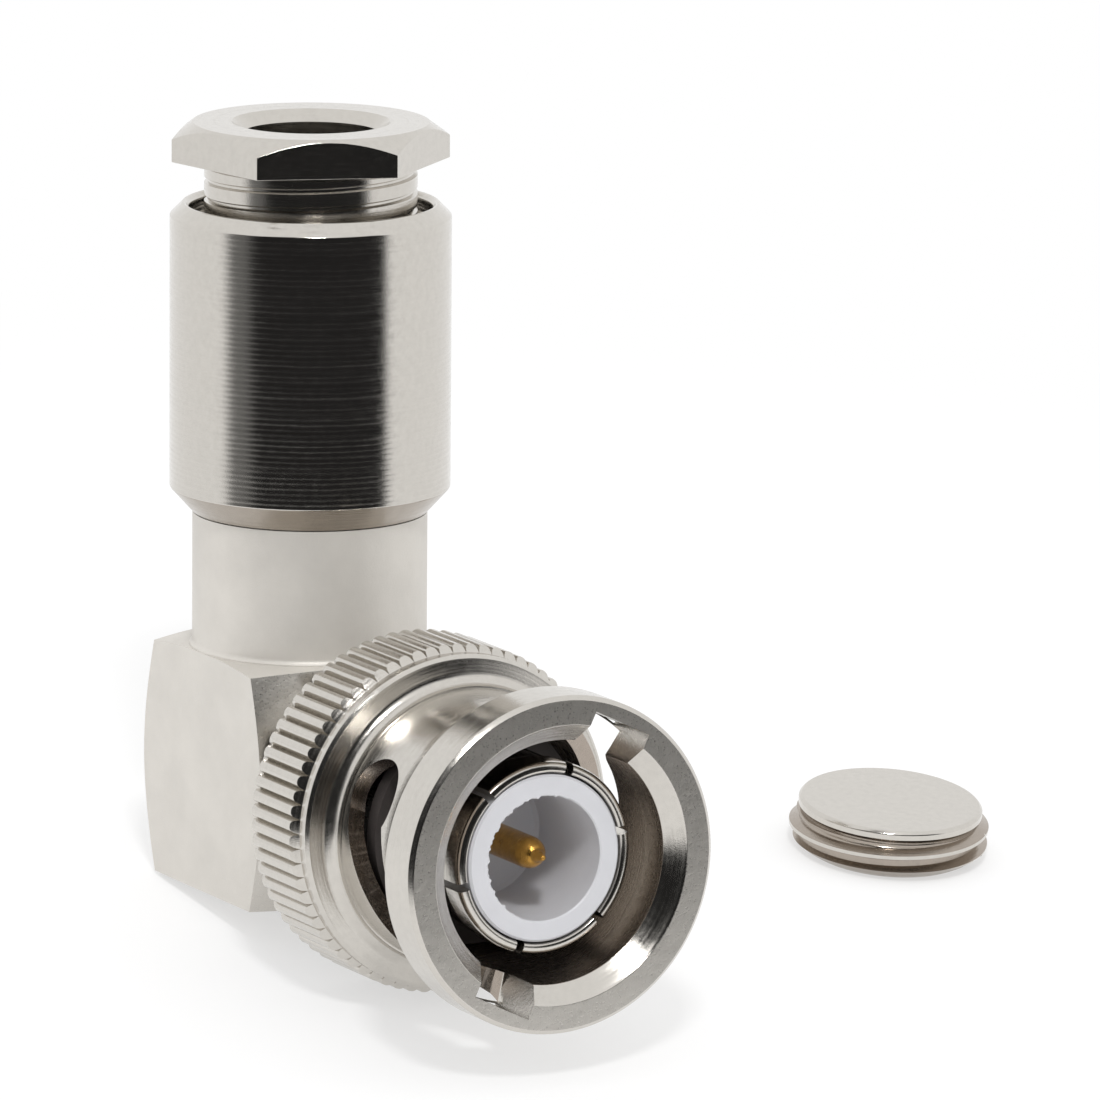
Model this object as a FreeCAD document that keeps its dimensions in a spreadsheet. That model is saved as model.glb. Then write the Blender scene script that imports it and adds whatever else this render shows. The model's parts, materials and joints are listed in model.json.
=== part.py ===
import FreeCAD, Part
import math
import os
import sys
import Sketcher

os.makedirs("parts", exist_ok=True)
doc = FreeCAD.newDocument("bnc_connector")
V = FreeCAD.Vector

# Sizes in millimetres and degrees. x runs along the plug axis to the mating end,
# z runs up the cable arm, and both axes cross at zero.
SIZES = [
    ("stock_half", 5.2, "half width of the square elbow stock"),
    ("end_x", 5.5, "flat front and rear faces of the elbow, from the cable axis"),
    ("end_flat_r", 5.15, "radius of the turned flat on those faces"),
    ("end_slope", 25.5, "slope of the turned corners on those faces"),
    ("crown_z", 5.25, "top of the elbow beside the neck"),
    ("crown_slope", 10.0, "fall of the turned top towards its corners"),
    ("neck_r", 5.05, "radius of the neck"),
    ("neck_blend", 0.4, "radius of the blend at the foot of the neck"),
    ("neck_top", 11.08, "shoulder where the clamp barrel seats"),
    ("spigot_r", 4.62, "spigot inside the clamp barrel"),
    ("spigot_len", 2.87, "length of that spigot"),
    ("arm_bore_r", 3.0, "bore up the neck for the cable insulator"),
    ("braid_bore_r", 3.85, "wider bore at the top of the neck"),
    ("braid_bore_z", 9.0, "floor of the wider bore"),
    ("chamber_r", 3.2, "solder chamber in the elbow"),
    ("port_r", 4.1, "threaded rear port, at the thread's crest"),
    ("port_depth", 2.6, "depth of that port"),
    ("tail_r", 3.9, "tail of the outer contact in the elbow"),
    ("tail_len", 3.0, "length of that tail"),
    ("barrel_r", 6.03, "radius of the clamp barrel"),
    ("barrel_foot", 0.97, "bevel at the bottom of the barrel"),
    ("barrel_len", 13.39, "length of the clamp barrel"),
    ("barrel_bevel", 0.55, "bevel at the top of the barrel"),
    ("barrel_land", 0.08, "flat rim left at the top"),
    ("barrel_seat_r", 4.25, "bore over the braid clamp's flange"),
    ("barrel_seat_len", 1.5, "length of that bore"),
    ("gland_r", 4.42, "threaded shank of the gland nut, at the thread's root"),
    ("gland_play", 0.08, "running clearance of the gland thread"),
    ("gland_bore_r", 2.9, "cable hole in the gland nut"),
    ("gland_sink", 0.5, "countersink at both ends of the cable hole"),
    ("gland_gap", 1.8, "gap left under the hexagon"),
    ("gland_hex", 10.39, "width of the hexagon across flats"),
    ("gland_hex_h", 1.68, "height of the hexagon"),
    ("gland_hex_turn", 10.0, "turn of the hexagon about the cable axis"),
    ("gland_crown_r", 5.05, "flat top of the hexagon"),
    ("gland_crown_drop", 0.7, "fall of its bevel at the corners"),
    ("gland_shank", 6.78, "length of the shank"),
    ("washer_t", 0.5, "thickness of the gland washer"),
    ("face_gap", 0.03, "play between stacked faces"),
    ("fit_gap", 0.02, "play of seated round fits"),
    ("clamp_flange_t", 1.0, "flange of the braid clamp"),
    ("clamp_nose_len", 3.4, "nose of the braid clamp"),
    ("clamp_nose_r", 3.4, "root radius of that nose"),
    ("clamp_tip_r", 3.0, "end radius of that nose"),
    ("clamp_bore_r", 2.6, "bore of the braid clamp"),
    ("gasket_t", 2.1, "thickness of the cable gasket"),
    ("gasket_bore_r", 2.7, "bore of the cable gasket"),
    ("gasket_groove", 0.5, "depth of the groove round its upper face"),
    ("bead_z", 4.2, "bottom of the cable insulator"),
    ("bead_bore_r", 1.55, "bore of the cable insulator"),
    ("collar_play", 0.75, "room round the outer contact's collar in the ring's recess"),
    ("collar_front", 10.2, "front face of that collar"),
    ("nose_r", 4.3, "nose that carries the coupling ring"),
    ("nose_front", 14.4, "front end of that nose"),
    ("snap_x", 13.25, "rear face of the groove for the retaining ring"),
    ("snap_w", 0.55, "width of that groove"),
    ("snap_groove_r", 3.95, "floor of that groove"),
    ("finger_root_r", 3.95, "spring fingers at their root"),
    ("finger_tip_r", 4.1, "spring fingers at their tip"),
    ("finger_front", 21.06, "front end of the fingers"),
    ("finger_lip", 0.22, "rounding bevel at the tips"),
    ("finger_bulge", 2.2, "length of the wider tips"),
    ("slit_w", 0.36, "width of the slits between fingers"),
    ("slit_rear", 15.6, "rear end of the slits"),
    ("slit_turn", 12.65, "turn of the first slit"),
    ("front_bore_r", 3.6, "bore of the fingers"),
    ("front_bore_x", 14.0, "rear end of that bore"),
    ("rear_bore_r", 2.9, "bore behind it"),
    ("plug_ins_r", 3.55, "plug insulator"),
    ("plug_ins_hollow_r", 2.66, "hollow in its front"),
    ("plug_ins_floor", 15.6, "floor of that hollow"),
    ("elbow_ins_r", 2.86, "elbow insulator"),
    ("pin_r", 0.685, "mating end of the centre contact"),
    ("pin_root_r", 0.9, "root of the pin inside the insulator"),
    ("pin_shoulder", 19.6, "start of its pointed end"),
    ("pin_tip", 21.0, "end of the point"),
    ("pin_tip_r", 0.18, "blunt end of the point"),
    ("core_r", 1.0, "body of the centre contact"),
    ("core_rear", -1.3, "rear end of the centre contact"),
    ("core_collar_r", 1.35, "collar that locks it in the insulator"),
    ("core_collar_x", 13.2, "rear face of that collar"),
    ("core_collar_w", 0.7, "width of that collar"),
    ("core_gap", 0.05, "play round the centre contact"),
    ("fork_w", 0.95, "solder slot at its rear end"),
    ("fork_front", 0.9, "front end of that slot"),
    ("seal_t", 0.75, "thickness of the interface gasket"),
    ("seal_r", 4.85, "outside of the interface gasket"),
    ("ring_rear", 9.0, "rear face of the coupling ring"),
    ("ring_front", 22.57, "front face of the coupling ring"),
    ("knurl_r", 7.5, "tips of the knurl"),
    ("knurl_depth", 0.34, "depth of the knurl"),
    ("knurl_w", 3.85, "width of the knurl"),
    ("knurl_count", 72, "number of teeth"),
    ("knurl_rise", 1.5, "width of a tooth's flank in degrees"),
    ("knurl_turn", 4.3, "turn of the knurl"),
    ("knurl_edge", 0.1, "bevel of the knurl's rear edge"),
    ("band_w", 0.45, "smooth band in front of the knurl"),
    ("band_bevel", 0.15, "bevel of that band"),
    ("waist_r", 5.92, "radius of the waist"),
    ("waist_step", 0.06, "fine ridge behind the waist"),
    ("waist_x", 14.14, "rear end of the waist"),
    ("flare_x", 17.6, "start of the flare in front of the waist"),
    ("flare_w", 2.8, "length of the flare"),
    ("lip_r", 7.17, "radius of the front lip"),
    ("lip_bevel", 0.18, "bevel of its front edge"),
    ("mouth_r", 5.95, "edge of the mouth on the front face"),
    ("mouth_bevel", 0.72, "depth of the bevelled mouth"),
    ("ring_bore_r", 5.18, "bore of the coupling ring"),
    ("web_rear", 10.8, "rear face of the web inside the ring"),
    ("web_w", 1.0, "width of that web"),
    ("web_play", 0.1, "running clearance of the web on the nose"),
    ("recess_wall", 1.35, "wall between the recess in the rear of the ring and the knurl's tips"),
    ("recess_bevel", 0.3, "bevel of that recess"),
    ("cam_r", 6.42, "outer radius of the bayonet slots"),
    ("cam_low_r", 4.0, "where their cutters start, inside the bore"),
    ("cam_w", 2.8, "width of the bayonet slots"),
    ("detent_r", 1.7, "radius of the detent at the end of each slot"),
    ("notch_r", 6.42, "flat floor of the entry notches"),
    ("notch_turn", 64.0, "turn of the entry notches"),
    ("notch_back", 19.6, "rear end of the entry notches"),
    ("spring_t", 0.25, "thickness of the spring washer"),
    ("spring_rise", 0.6, "rise of the spring washer"),
    ("spring_r", 5.02, "outside of the washers in the ring"),
    ("spring_bore_r", 4.4, "bore of those washers"),
    ("backing_t", 0.4, "thickness of the backing washer"),
    ("thrust_t", 0.5, "thickness of the thrust washer"),
    ("thrust_play", 0.2, "room round the thrust washer in that recess"),
    ("snap_r", 4.95, "outside of the retaining ring"),
    ("snap_gap", 2.2, "gap between the ends of the retaining ring"),
    ("cap_x", 2.85, "rear cap on the floor, forward of the cable axis"),
    ("cap_y", 27.9, "rear cap on the floor, to the side"),
    ("cap_r", 4.08, "rim of the rear cap"),
    ("cap_crest_r", 4.42, "thread crests of the rear cap"),
    ("cap_root_r", 4.02, "thread root of the rear cap"),
    ("cap_h", 2.3, "height of the rear cap"),
    ("cap_edge", 0.14, "bevel of its upper edge"),
    ("cap_foot", 0.4, "bevel of its lower edge"),
    ("cap_pitch", 0.79, "pitch of its thread"),
    ("cap_first", 0.62, "height of the lower thread crest"),
    ("cap_flat", 0.12, "half width of a thread crest"),
    ("cap_slot_w", 0.9, "driver slot in its outer face"),
    ("cap_slot_d", 0.6, "depth of that slot"),
]

sheet = doc.addObject("Spreadsheet::Sheet", "sizes")
for row, (word, number, note) in enumerate(SIZES, start=1):
    sheet.set("A%d" % row, word)
    sheet.set("B%d" % row, str(number))
    sheet.set("C%d" % row, note)
    sheet.setAlias("B%d" % row, word)


class Size:
    """A length that knows its number and the words that give it."""

    def __init__(self, number, words):
        self.number = float(number)
        self.words = words

    def join(self, other, sign, number):
        words = other.words if isinstance(other, Size) else repr(other)
        return Size(number, "(%s %s %s)" % (self.words, sign, words))

    def __add__(self, other):
        return self.join(other, "+", self.number + number_of(other))

    def __sub__(self, other):
        return self.join(other, "-", self.number - number_of(other))

    def __mul__(self, other):
        return self.join(other, "*", self.number * number_of(other))

    def __truediv__(self, other):
        return self.join(other, "/", self.number / number_of(other))

    def __neg__(self):
        return Size(-self.number, "(0 - %s)" % self.words)

    def tan(self):
        return Size(math.tan(math.radians(self.number)), "tan(%s * 1 deg)" % self.words)


def number_of(value):
    return value.number if isinstance(value, Size) else float(value)


class Names:
    """The named sizes, each as a word."""


S = Names()
for word, number, note in SIZES:
    setattr(S, word, Size(number, "sizes." + word))

# Derived places that several pieces share
S.web_front = S.web_rear + S.web_w
S.recess_r = S.knurl_r - S.recess_wall
S.collar_r = S.recess_r - S.collar_play
S.thrust_r = S.recess_r - S.thrust_play
S.barrel_top = S.neck_top + S.barrel_len
S.spigot_top = S.neck_top + S.spigot_len
S.hex_bottom = S.barrel_top + S.gland_gap
S.hex_top = S.hex_bottom + S.gland_hex_h
S.shank_end = S.hex_bottom - S.gland_shank
S.washer_low = S.shank_end - S.face_gap - S.washer_t
S.clamp_seat = S.spigot_top + S.face_gap
S.gasket_low = S.clamp_seat + S.clamp_flange_t + S.face_gap
S.tail_rear = S.end_x - S.tail_len
S.band_rear = S.ring_rear + S.knurl_w
S.band_front = S.band_rear + S.band_w
S.lip_start = S.flare_x + S.flare_w
S.knurl_root = S.knurl_r - S.knurl_depth
S.band_r = S.knurl_root + 0.03
S.backing_rear = S.snap_x - S.face_gap - S.backing_t
S.heel_x = S.end_x - (S.stock_half - S.end_flat_r) * S.end_slope.tan()
S.toe_x = S.ring_rear + S.knurl_edge


def hold(obj, prop, size):
    obj.setExpression(prop, size.words if isinstance(size, Size) else str(size))


def plane_of(body, role):
    for item in body.Origin.OriginFeatures:
        if item.Role == role:
            return item
    raise RuntimeError("no plane " + role)


def sketch_in(body, name, role):
    sketch = body.newObject("Sketcher::SketchObject", name)
    sketch.AttachmentSupport = [(plane_of(body, role), "")]
    sketch.MapMode = "FlatFace"
    return sketch


def pin_down(sketch, item, end, across, up):
    """Fixes one point of a sketch by two sizes."""
    for kind, size, axis in (("DistanceX", across, -2), ("DistanceY", up, -1)):
        value = number_of(size)
        if abs(value) < 1e-9:
            sketch.addConstraint(Sketcher.Constraint("PointOnObject", item, end, axis))
            continue
        if value > 0:
            rule = Sketcher.Constraint(kind, -1, 1, item, end, value)
            words = size
        else:
            rule = Sketcher.Constraint(kind, item, end, -1, 1, -value)
            words = -size if isinstance(size, Size) else -value
        index = sketch.addConstraint(rule)
        if isinstance(size, Size):
            sketch.setExpression("Constraints[%d]" % index, words.words)


def outline(sketch, points):
    """Closed outline; a third entry bends the edge that ends at that point,
    with its centre at that distance across."""
    count = len(points)
    flat = [V(number_of(p[0]), number_of(p[1]), 0) for p in points]
    starts = []
    for index in range(count):
        here = flat[index]
        there = flat[(index + 1) % count]
        goal = points[(index + 1) % count]
        if len(goal) < 3:
            sketch.addGeometry(Part.LineSegment(here, there), False)
            starts.append((1, 2))
            continue
        cx = number_of(goal[2])
        top = (there.x - cx) ** 2 + there.y ** 2 - (here.x - cx) ** 2 - here.y ** 2
        cy = top / (2 * (there.y - here.y))
        centre = V(cx, cy, 0)
        radius = (here - centre).Length
        a0 = math.atan2(here.y - cy, here.x - cx)
        a1 = math.atan2(there.y - cy, there.x - cx)
        turn = (a1 - a0) % (2 * math.pi)
        circle = Part.Circle(centre, V(0, 0, 1), radius)
        if turn < math.pi:
            sketch.addGeometry(Part.ArcOfCircle(circle, a0, a1), False)
            starts.append((1, 2))
        else:
            sketch.addGeometry(Part.ArcOfCircle(circle, a1, a0), False)
            starts.append((2, 1))
    for index in range(count):
        nxt = (index + 1) % count
        sketch.addConstraint(
            Sketcher.Constraint("Coincident", index, starts[index][1], nxt, starts[nxt][0]))
    for index in range(count):
        pin_down(sketch, index, starts[index][0], points[index][0], points[index][1])
        goal = points[(index + 1) % count]
        if len(goal) > 2:
            rule = Sketcher.Constraint("DistanceX", -1, 1, index, 3, number_of(goal[2]))
            spot = sketch.addConstraint(rule)
            if isinstance(goal[2], Size):
                sketch.setExpression("Constraints[%d]" % spot, goal[2].words)


def turned(name, axis, points):
    """Turned piece: points are (along, radius) about x, or (radius, height) about z."""
    body = doc.addObject("PartDesign::Body", name)
    sketch = sketch_in(body, name + "_outline", "XZ_Plane")
    outline(sketch, points)
    turn = body.newObject("PartDesign::Revolution", name + "_turned")
    turn.Profile = sketch
    turn.ReferenceAxis = (sketch, ["H_Axis" if axis == "x" else "V_Axis"])
    turn.Angle = 360
    sketch.Visibility = False
    return body


def box(name, length, width, height, place):
    item = doc.addObject("Part::Box", name)
    hold(item, "Length", length)
    hold(item, "Width", width)
    hold(item, "Height", height)
    item.Placement = place
    return item


def rod(name, radius, height, place):
    item = doc.addObject("Part::Cylinder", name)
    hold(item, "Radius", radius)
    hold(item, "Height", height)
    item.Placement = place
    return item


def move(item, across, side, up):
    for prop, size in (("x", across), ("y", side), ("z", up)):
        if isinstance(size, Size):
            item.setExpression("Placement.Base." + prop, size.words)
        else:
            setattr(item.Placement.Base, prop, size)


def cut(name, base, tool):
    item = doc.addObject("Part::Cut", name)
    item.Base = base
    item.Tool = tool
    return item


def common(name, base, tool):
    item = doc.addObject("Part::Common", name)
    item.Base = base
    item.Tool = tool
    return item


def fuse(name, shapes):
    item = doc.addObject("Part::MultiFuse", name)
    item.Shapes = shapes
    return item


LEVEL = FreeCAD.Placement()
pieces = {}

# Elbow block: square stock with both ends turned about the plug axis and the top
# turned about the cable axis, the neck and its spigot
block_stock = box("block_stock", S.end_x * 2, S.stock_half * 2, S.stock_half + S.crown_z,
                  LEVEL)
move(block_stock, -S.end_x, -S.stock_half, -S.stock_half)
far_r = S.stock_half * 1.6
corner_x = S.end_x - (far_r - S.end_flat_r) * S.end_slope.tan()
block_ends = turned("block_ends", "x", [
    (-S.end_x, 0), (-S.end_x, S.end_flat_r), (-corner_x, far_r),
    (corner_x, far_r), (S.end_x, S.end_flat_r), (S.end_x, 0)])
crown_r = S.neck_r + S.neck_blend
block_crown = turned("block_crown", "z", [
    (0, -S.stock_half - 1), (far_r, -S.stock_half - 1),
    (far_r, S.crown_z - (far_r - crown_r) * S.crown_slope.tan()),
    (crown_r, S.crown_z), (S.neck_r, S.crown_z + S.neck_blend, crown_r),
    (S.neck_r, S.neck_top), (S.spigot_r, S.neck_top), (S.spigot_r, S.spigot_top),
    (0, S.spigot_top)])
block_neck = turned("block_neck", "z", [
    (0, 0), (S.neck_r - 0.3, 0), (S.neck_r - 0.3, S.crown_z), (crown_r, S.crown_z),
    (S.neck_r, S.crown_z + S.neck_blend, crown_r),
    (S.neck_r, S.neck_top), (S.spigot_r, S.neck_top), (S.spigot_r, S.spigot_top),
    (0, S.spigot_top)])
block_square = common("block_square", block_stock, block_ends)
block_topped = common("block_topped", block_square, block_crown)
block_solid = fuse("block_solid", [block_topped, block_neck])
block_arm_bore = turned("block_arm_bore", "z", [
    (0, 0), (S.arm_bore_r, 0), (S.arm_bore_r, S.braid_bore_z),
    (S.braid_bore_r, S.braid_bore_z), (S.braid_bore_r, S.spigot_top + 1),
    (0, S.spigot_top + 1)])
block_plug_bore = turned("block_plug_bore", "x", [
    (-S.end_x - 1, 0), (-S.end_x - 1, S.port_r + 1.3),
    (-S.end_x + 0.3, S.port_r), (-S.end_x + S.port_depth, S.port_r),
    (-S.end_x + S.port_depth, S.chamber_r), (S.tail_rear - S.face_gap, S.chamber_r),
    (S.tail_rear - S.face_gap, S.tail_r + S.fit_gap), (S.end_x + 1, S.tail_r + S.fit_gap),
    (S.end_x + 1, 0)])
block_bores = fuse("block_bores", [block_arm_bore, block_plug_bore])
pieces["elbow_block"] = cut("elbow_block", block_solid, block_bores)

# Clamp barrel on the neck
barrel_fit = S.spigot_r + S.fit_gap
gland_hole = S.gland_r + S.gland_play
sink_r = S.barrel_r - S.barrel_bevel - S.barrel_land
barrel_low = S.neck_top + S.face_gap
seat_z = S.spigot_top + S.face_gap
pieces["clamp_barrel"] = turned("clamp_barrel", "z", [
    (barrel_fit, barrel_low), (S.neck_r + 0.01, barrel_low),
    (S.barrel_r, barrel_low + S.barrel_foot * 1.1), (S.barrel_r, S.barrel_top - S.barrel_bevel),
    (S.barrel_r - S.barrel_bevel, S.barrel_top), (sink_r, S.barrel_top),
    (gland_hole, S.barrel_top - (sink_r - gland_hole)),
    (gland_hole, seat_z + S.barrel_seat_len), (S.barrel_seat_r, seat_z + S.barrel_seat_len),
    (S.barrel_seat_r, seat_z), (barrel_fit, seat_z)])

# Cable insulator, braid clamp and gasket inside the arm
pieces["cable_insulator"] = turned("cable_insulator", "z", [
    (S.bead_bore_r, S.bead_z), (S.arm_bore_r - S.fit_gap, S.bead_z),
    (S.arm_bore_r - S.fit_gap, S.braid_bore_z),
    (S.bead_bore_r + 0.3, S.braid_bore_z), (S.bead_bore_r, S.braid_bore_z - 0.4)])
clamp_r = S.barrel_seat_r - S.face_gap
pieces["braid_clamp"] = turned("braid_clamp", "z", [
    (S.clamp_bore_r, S.clamp_seat - S.clamp_nose_len),
    (S.clamp_tip_r, S.clamp_seat - S.clamp_nose_len), (S.clamp_nose_r, S.clamp_seat),
    (clamp_r, S.clamp_seat), (clamp_r, S.clamp_seat + S.clamp_flange_t),
    (S.clamp_bore_r + 0.3, S.clamp_seat + S.clamp_flange_t),
    (S.clamp_bore_r, S.clamp_seat + S.clamp_flange_t - 0.3)])
gasket_mid = (S.gasket_bore_r + clamp_r) / 2
pieces["cable_gasket"] = turned("cable_gasket", "z", [
    (S.gasket_bore_r, S.gasket_low), (clamp_r, S.gasket_low),
    (clamp_r, S.gasket_low + S.gasket_t), (gasket_mid + 0.4, S.gasket_low + S.gasket_t),
    (gasket_mid, S.gasket_low + S.gasket_t - S.gasket_groove),
    (gasket_mid - 0.4, S.gasket_low + S.gasket_t),
    (S.gasket_bore_r, S.gasket_low + S.gasket_t)])

# Gland nut and the washer that it pushes
washer_r = S.gland_r - 0.1
pieces["gland_washer"] = turned("gland_washer", "z", [
    (S.gland_bore_r, S.washer_low), (washer_r, S.washer_low),
    (washer_r, S.washer_low + S.washer_t), (S.gland_bore_r, S.washer_low + S.washer_t)])
hex_body = doc.addObject("Part::Prism", "gland_hexagon")
hex_body.Polygon = 6
hex_corner = S.gland_hex / math.sqrt(3)
hold(hex_body, "Circumradius", hex_corner)
hold(hex_body, "Height", S.gland_hex_h)
hex_body.Placement = FreeCAD.Placement(V(0, 0, 0), FreeCAD.Rotation(V(0, 0, 1), 1))
hex_body.setExpression("Placement.Rotation.Angle", S.gland_hex_turn.words)
move(hex_body, 0, 0, S.hex_bottom)
hex_over = hex_corner + 0.5
hex_fall = S.gland_crown_drop / (hex_corner - S.gland_crown_r)
gland_crown = turned("gland_crown", "z", [
    (0, S.hex_bottom - 1), (hex_over, S.hex_bottom - 1),
    (hex_over, S.hex_top - hex_fall * (hex_over - S.gland_crown_r)),
    (S.gland_crown_r, S.hex_top), (0, S.hex_top)])
gland_head = common("gland_head", hex_body, gland_crown)
gland_shank = turned("gland_shank", "z", [
    (0, S.shank_end), (S.gland_r - 0.35, S.shank_end), (S.gland_r, S.shank_end + 0.35),
    (S.gland_r, S.hex_bottom + 0.2), (0, S.hex_bottom + 0.2)])
gland_solid = fuse("gland_solid", [gland_head, gland_shank])
gland_hole_tool = turned("gland_hole", "z", [
    (0, S.shank_end - 1), (S.gland_bore_r + S.gland_sink + 1, S.shank_end - 1),
    (S.gland_bore_r, S.shank_end + S.gland_sink), (S.gland_bore_r, S.hex_top - S.gland_sink),
    (S.gland_bore_r + S.gland_sink + 1, S.hex_top + 1), (0, S.hex_top + 1)])
pieces["gland_nut"] = cut("gland_nut", gland_solid, gland_hole_tool)

# Outer contact: tail, collar, nose with the retaining groove, slit spring fingers
shell_turned = turned("shell_turned", "x", [
    (S.tail_rear, S.rear_bore_r), (S.tail_rear, S.tail_r), (S.end_x + S.fit_gap, S.tail_r),
    (S.end_x + S.fit_gap, S.collar_r), (S.collar_front, S.collar_r),
    (S.collar_front, S.nose_r), (S.snap_x, S.nose_r), (S.snap_x, S.snap_groove_r),
    (S.snap_x + S.snap_w, S.snap_groove_r), (S.snap_x + S.snap_w, S.nose_r),
    (S.nose_front, S.nose_r), (S.nose_front, S.finger_root_r),
    (S.finger_front - S.finger_bulge, S.finger_root_r),
    (S.finger_front - S.finger_bulge * 0.6, S.finger_tip_r),
    (S.finger_front - S.finger_lip, S.finger_tip_r),
    (S.finger_front, S.finger_tip_r - S.finger_lip),
    (S.finger_front, S.front_bore_r + 0.08), (S.finger_front - 0.3, S.front_bore_r),
    (S.front_bore_x, S.front_bore_r), (S.front_bore_x, S.rear_bore_r)])
slits = []
slit_len = S.finger_front - S.slit_rear + 1
for index in range(3):
    spin = FreeCAD.Rotation(V(1, 0, 0), S.slit_turn.number + 60 * index)
    back = spin.multVec(V(0, -S.finger_tip_r.number - 1, -S.slit_w.number / 2))
    place = FreeCAD.Placement(V(S.slit_rear.number, 0, 0) + back, spin)
    slits.append(box("slit_%d" % (index + 1), slit_len, (S.finger_tip_r + 1) * 2, S.slit_w,
                     place))
slit_set = fuse("slit_set", slits)
pieces["outer_contact"] = cut("outer_contact", shell_turned, slit_set)

# Insulators along the plug axis
core_hole = S.core_r + S.core_gap
pieces["plug_insulator"] = turned("plug_insulator", "x", [
    (S.front_bore_x + S.face_gap, S.pin_root_r + S.core_gap),
    (S.front_bore_x + S.face_gap, S.plug_ins_r), (S.finger_front - 0.02, S.plug_ins_r),
    (S.finger_front - 0.02, S.plug_ins_hollow_r), (S.plug_ins_floor, S.plug_ins_hollow_r),
    (S.plug_ins_floor, S.pin_root_r + S.core_gap)])
pieces["elbow_insulator"] = turned("elbow_insulator", "x", [
    (S.tail_rear + 0.1, core_hole), (S.tail_rear + 0.1, S.elbow_ins_r),
    (S.front_bore_x - S.face_gap, S.elbow_ins_r),
    (S.front_bore_x - S.face_gap, S.core_collar_r + S.core_gap),
    (S.core_collar_x - S.face_gap, S.core_collar_r + S.core_gap),
    (S.core_collar_x - S.face_gap, core_hole)])

# Centre contact with its pointed pin and the solder slot
core_turned = turned("core_turned", "x", [
    (S.core_rear, 0), (S.core_rear, S.core_r), (S.core_collar_x, S.core_r),
    (S.core_collar_x, S.core_collar_r), (S.core_collar_x + S.core_collar_w, S.core_collar_r),
    (S.core_collar_x + S.core_collar_w, S.pin_root_r), (S.plug_ins_floor, S.pin_root_r),
    (S.plug_ins_floor, S.pin_r), (S.pin_shoulder, S.pin_r),
    (S.pin_tip - 0.1, S.pin_tip_r + 0.07), (S.pin_tip, S.pin_tip_r), (S.pin_tip, 0)])
fork = box("solder_slot", S.fork_front - S.core_rear + 1, S.fork_w, (S.core_r + 1) * 2, LEVEL)
move(fork, S.core_rear - 1, -S.fork_w / 2, -S.core_r - 1)
pieces["centre_contact"] = cut("centre_contact", core_turned, fork)

# Gasket on which the mating half seats
pieces["interface_gasket"] = turned("interface_gasket", "x", [
    (S.nose_front + S.face_gap, S.finger_root_r + S.face_gap),
    (S.nose_front + S.face_gap, S.seal_r), (S.nose_front + S.face_gap + S.seal_t, S.seal_r),
    (S.nose_front + S.face_gap + S.seal_t, S.finger_root_r + S.face_gap)])

# Coupling ring: turned blank, knurl, bayonet slots and entry notches
ring_points = [
    (S.ring_rear, S.recess_r + S.recess_bevel), (S.ring_rear, S.knurl_root),
    (S.band_rear, S.knurl_root), (S.band_rear, S.band_r),
    (S.band_front, S.band_r), (S.band_front + S.band_bevel, S.band_r - S.band_bevel),
    (S.band_front + 0.25, S.waist_r + 0.55), (S.waist_x, S.waist_r + S.waist_step, S.waist_x),
    (S.waist_x, S.waist_r), (S.flare_x, S.waist_r), (S.lip_start, S.lip_r, S.flare_x),
    (S.ring_front - S.lip_bevel, S.lip_r), (S.ring_front, S.lip_r - S.lip_bevel),
    (S.ring_front, S.mouth_r), (S.ring_front - S.mouth_bevel, S.ring_bore_r),
    (S.web_front, S.ring_bore_r), (S.web_front, S.nose_r + S.web_play),
    (S.web_rear, S.nose_r + S.web_play), (S.web_rear, S.recess_r),
    (S.ring_rear + S.recess_bevel, S.recess_r)]
ring_blank = turned("ring_blank", "x", ring_points)
knurl_body = doc.addObject("PartDesign::Body", "knurl_teeth")
knurl_sketch = sketch_in(knurl_body, "knurl_outline", "YZ_Plane")
knurl_sketch.AttachmentOffset = FreeCAD.Placement(V(0, 0, 1), FreeCAD.Rotation())
knurl_sketch.setExpression("AttachmentOffset.Base.z", S.ring_rear.words)
step = 360.0 / S.knurl_count.number
corners = []
for tooth in range(int(S.knurl_count.number)):
    start = S.knurl_turn.number + tooth * step
    for part, radius in ((0.0, S.knurl_root.number), (S.knurl_rise.number, S.knurl_r.number),
                         (step - S.knurl_rise.number, S.knurl_r.number)):
        angle = math.radians(start + part)
        corners.append(V(radius * math.cos(angle), radius * math.sin(angle), 0))
for index, corner in enumerate(corners):
    knurl_sketch.addGeometry(
        Part.LineSegment(corner, corners[(index + 1) % len(corners)]), False)
knurl_sketch.addGeometry(
    Part.Circle(V(0, 0, 0), V(0, 0, 1), S.knurl_root.number - 0.6), False)
knurl_pad = knurl_body.newObject("PartDesign::Pad", "knurl_pad")
knurl_pad.Profile = knurl_sketch
hold(knurl_pad, "Length", S.knurl_w)
knurl_sketch.Visibility = False
knurl_bevel = turned("knurl_bevel", "x", [
    (S.ring_rear - 1, 0), (S.ring_rear - 1, S.knurl_r - S.knurl_edge - 1),
    (S.ring_rear + S.knurl_edge + 1, S.knurl_r + 1), (S.band_rear - S.knurl_depth, S.knurl_r + 1),
    (S.band_rear - S.knurl_depth, S.knurl_r), (S.band_rear, S.knurl_root),
    (S.band_rear + 1, S.knurl_root), (S.band_rear + 1, 0)])
knurl_shaped = common("knurl_shaped", knurl_body, knurl_bevel)
ring_knurled = fuse("ring_knurled", [ring_blank, knurl_shaped])

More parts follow.
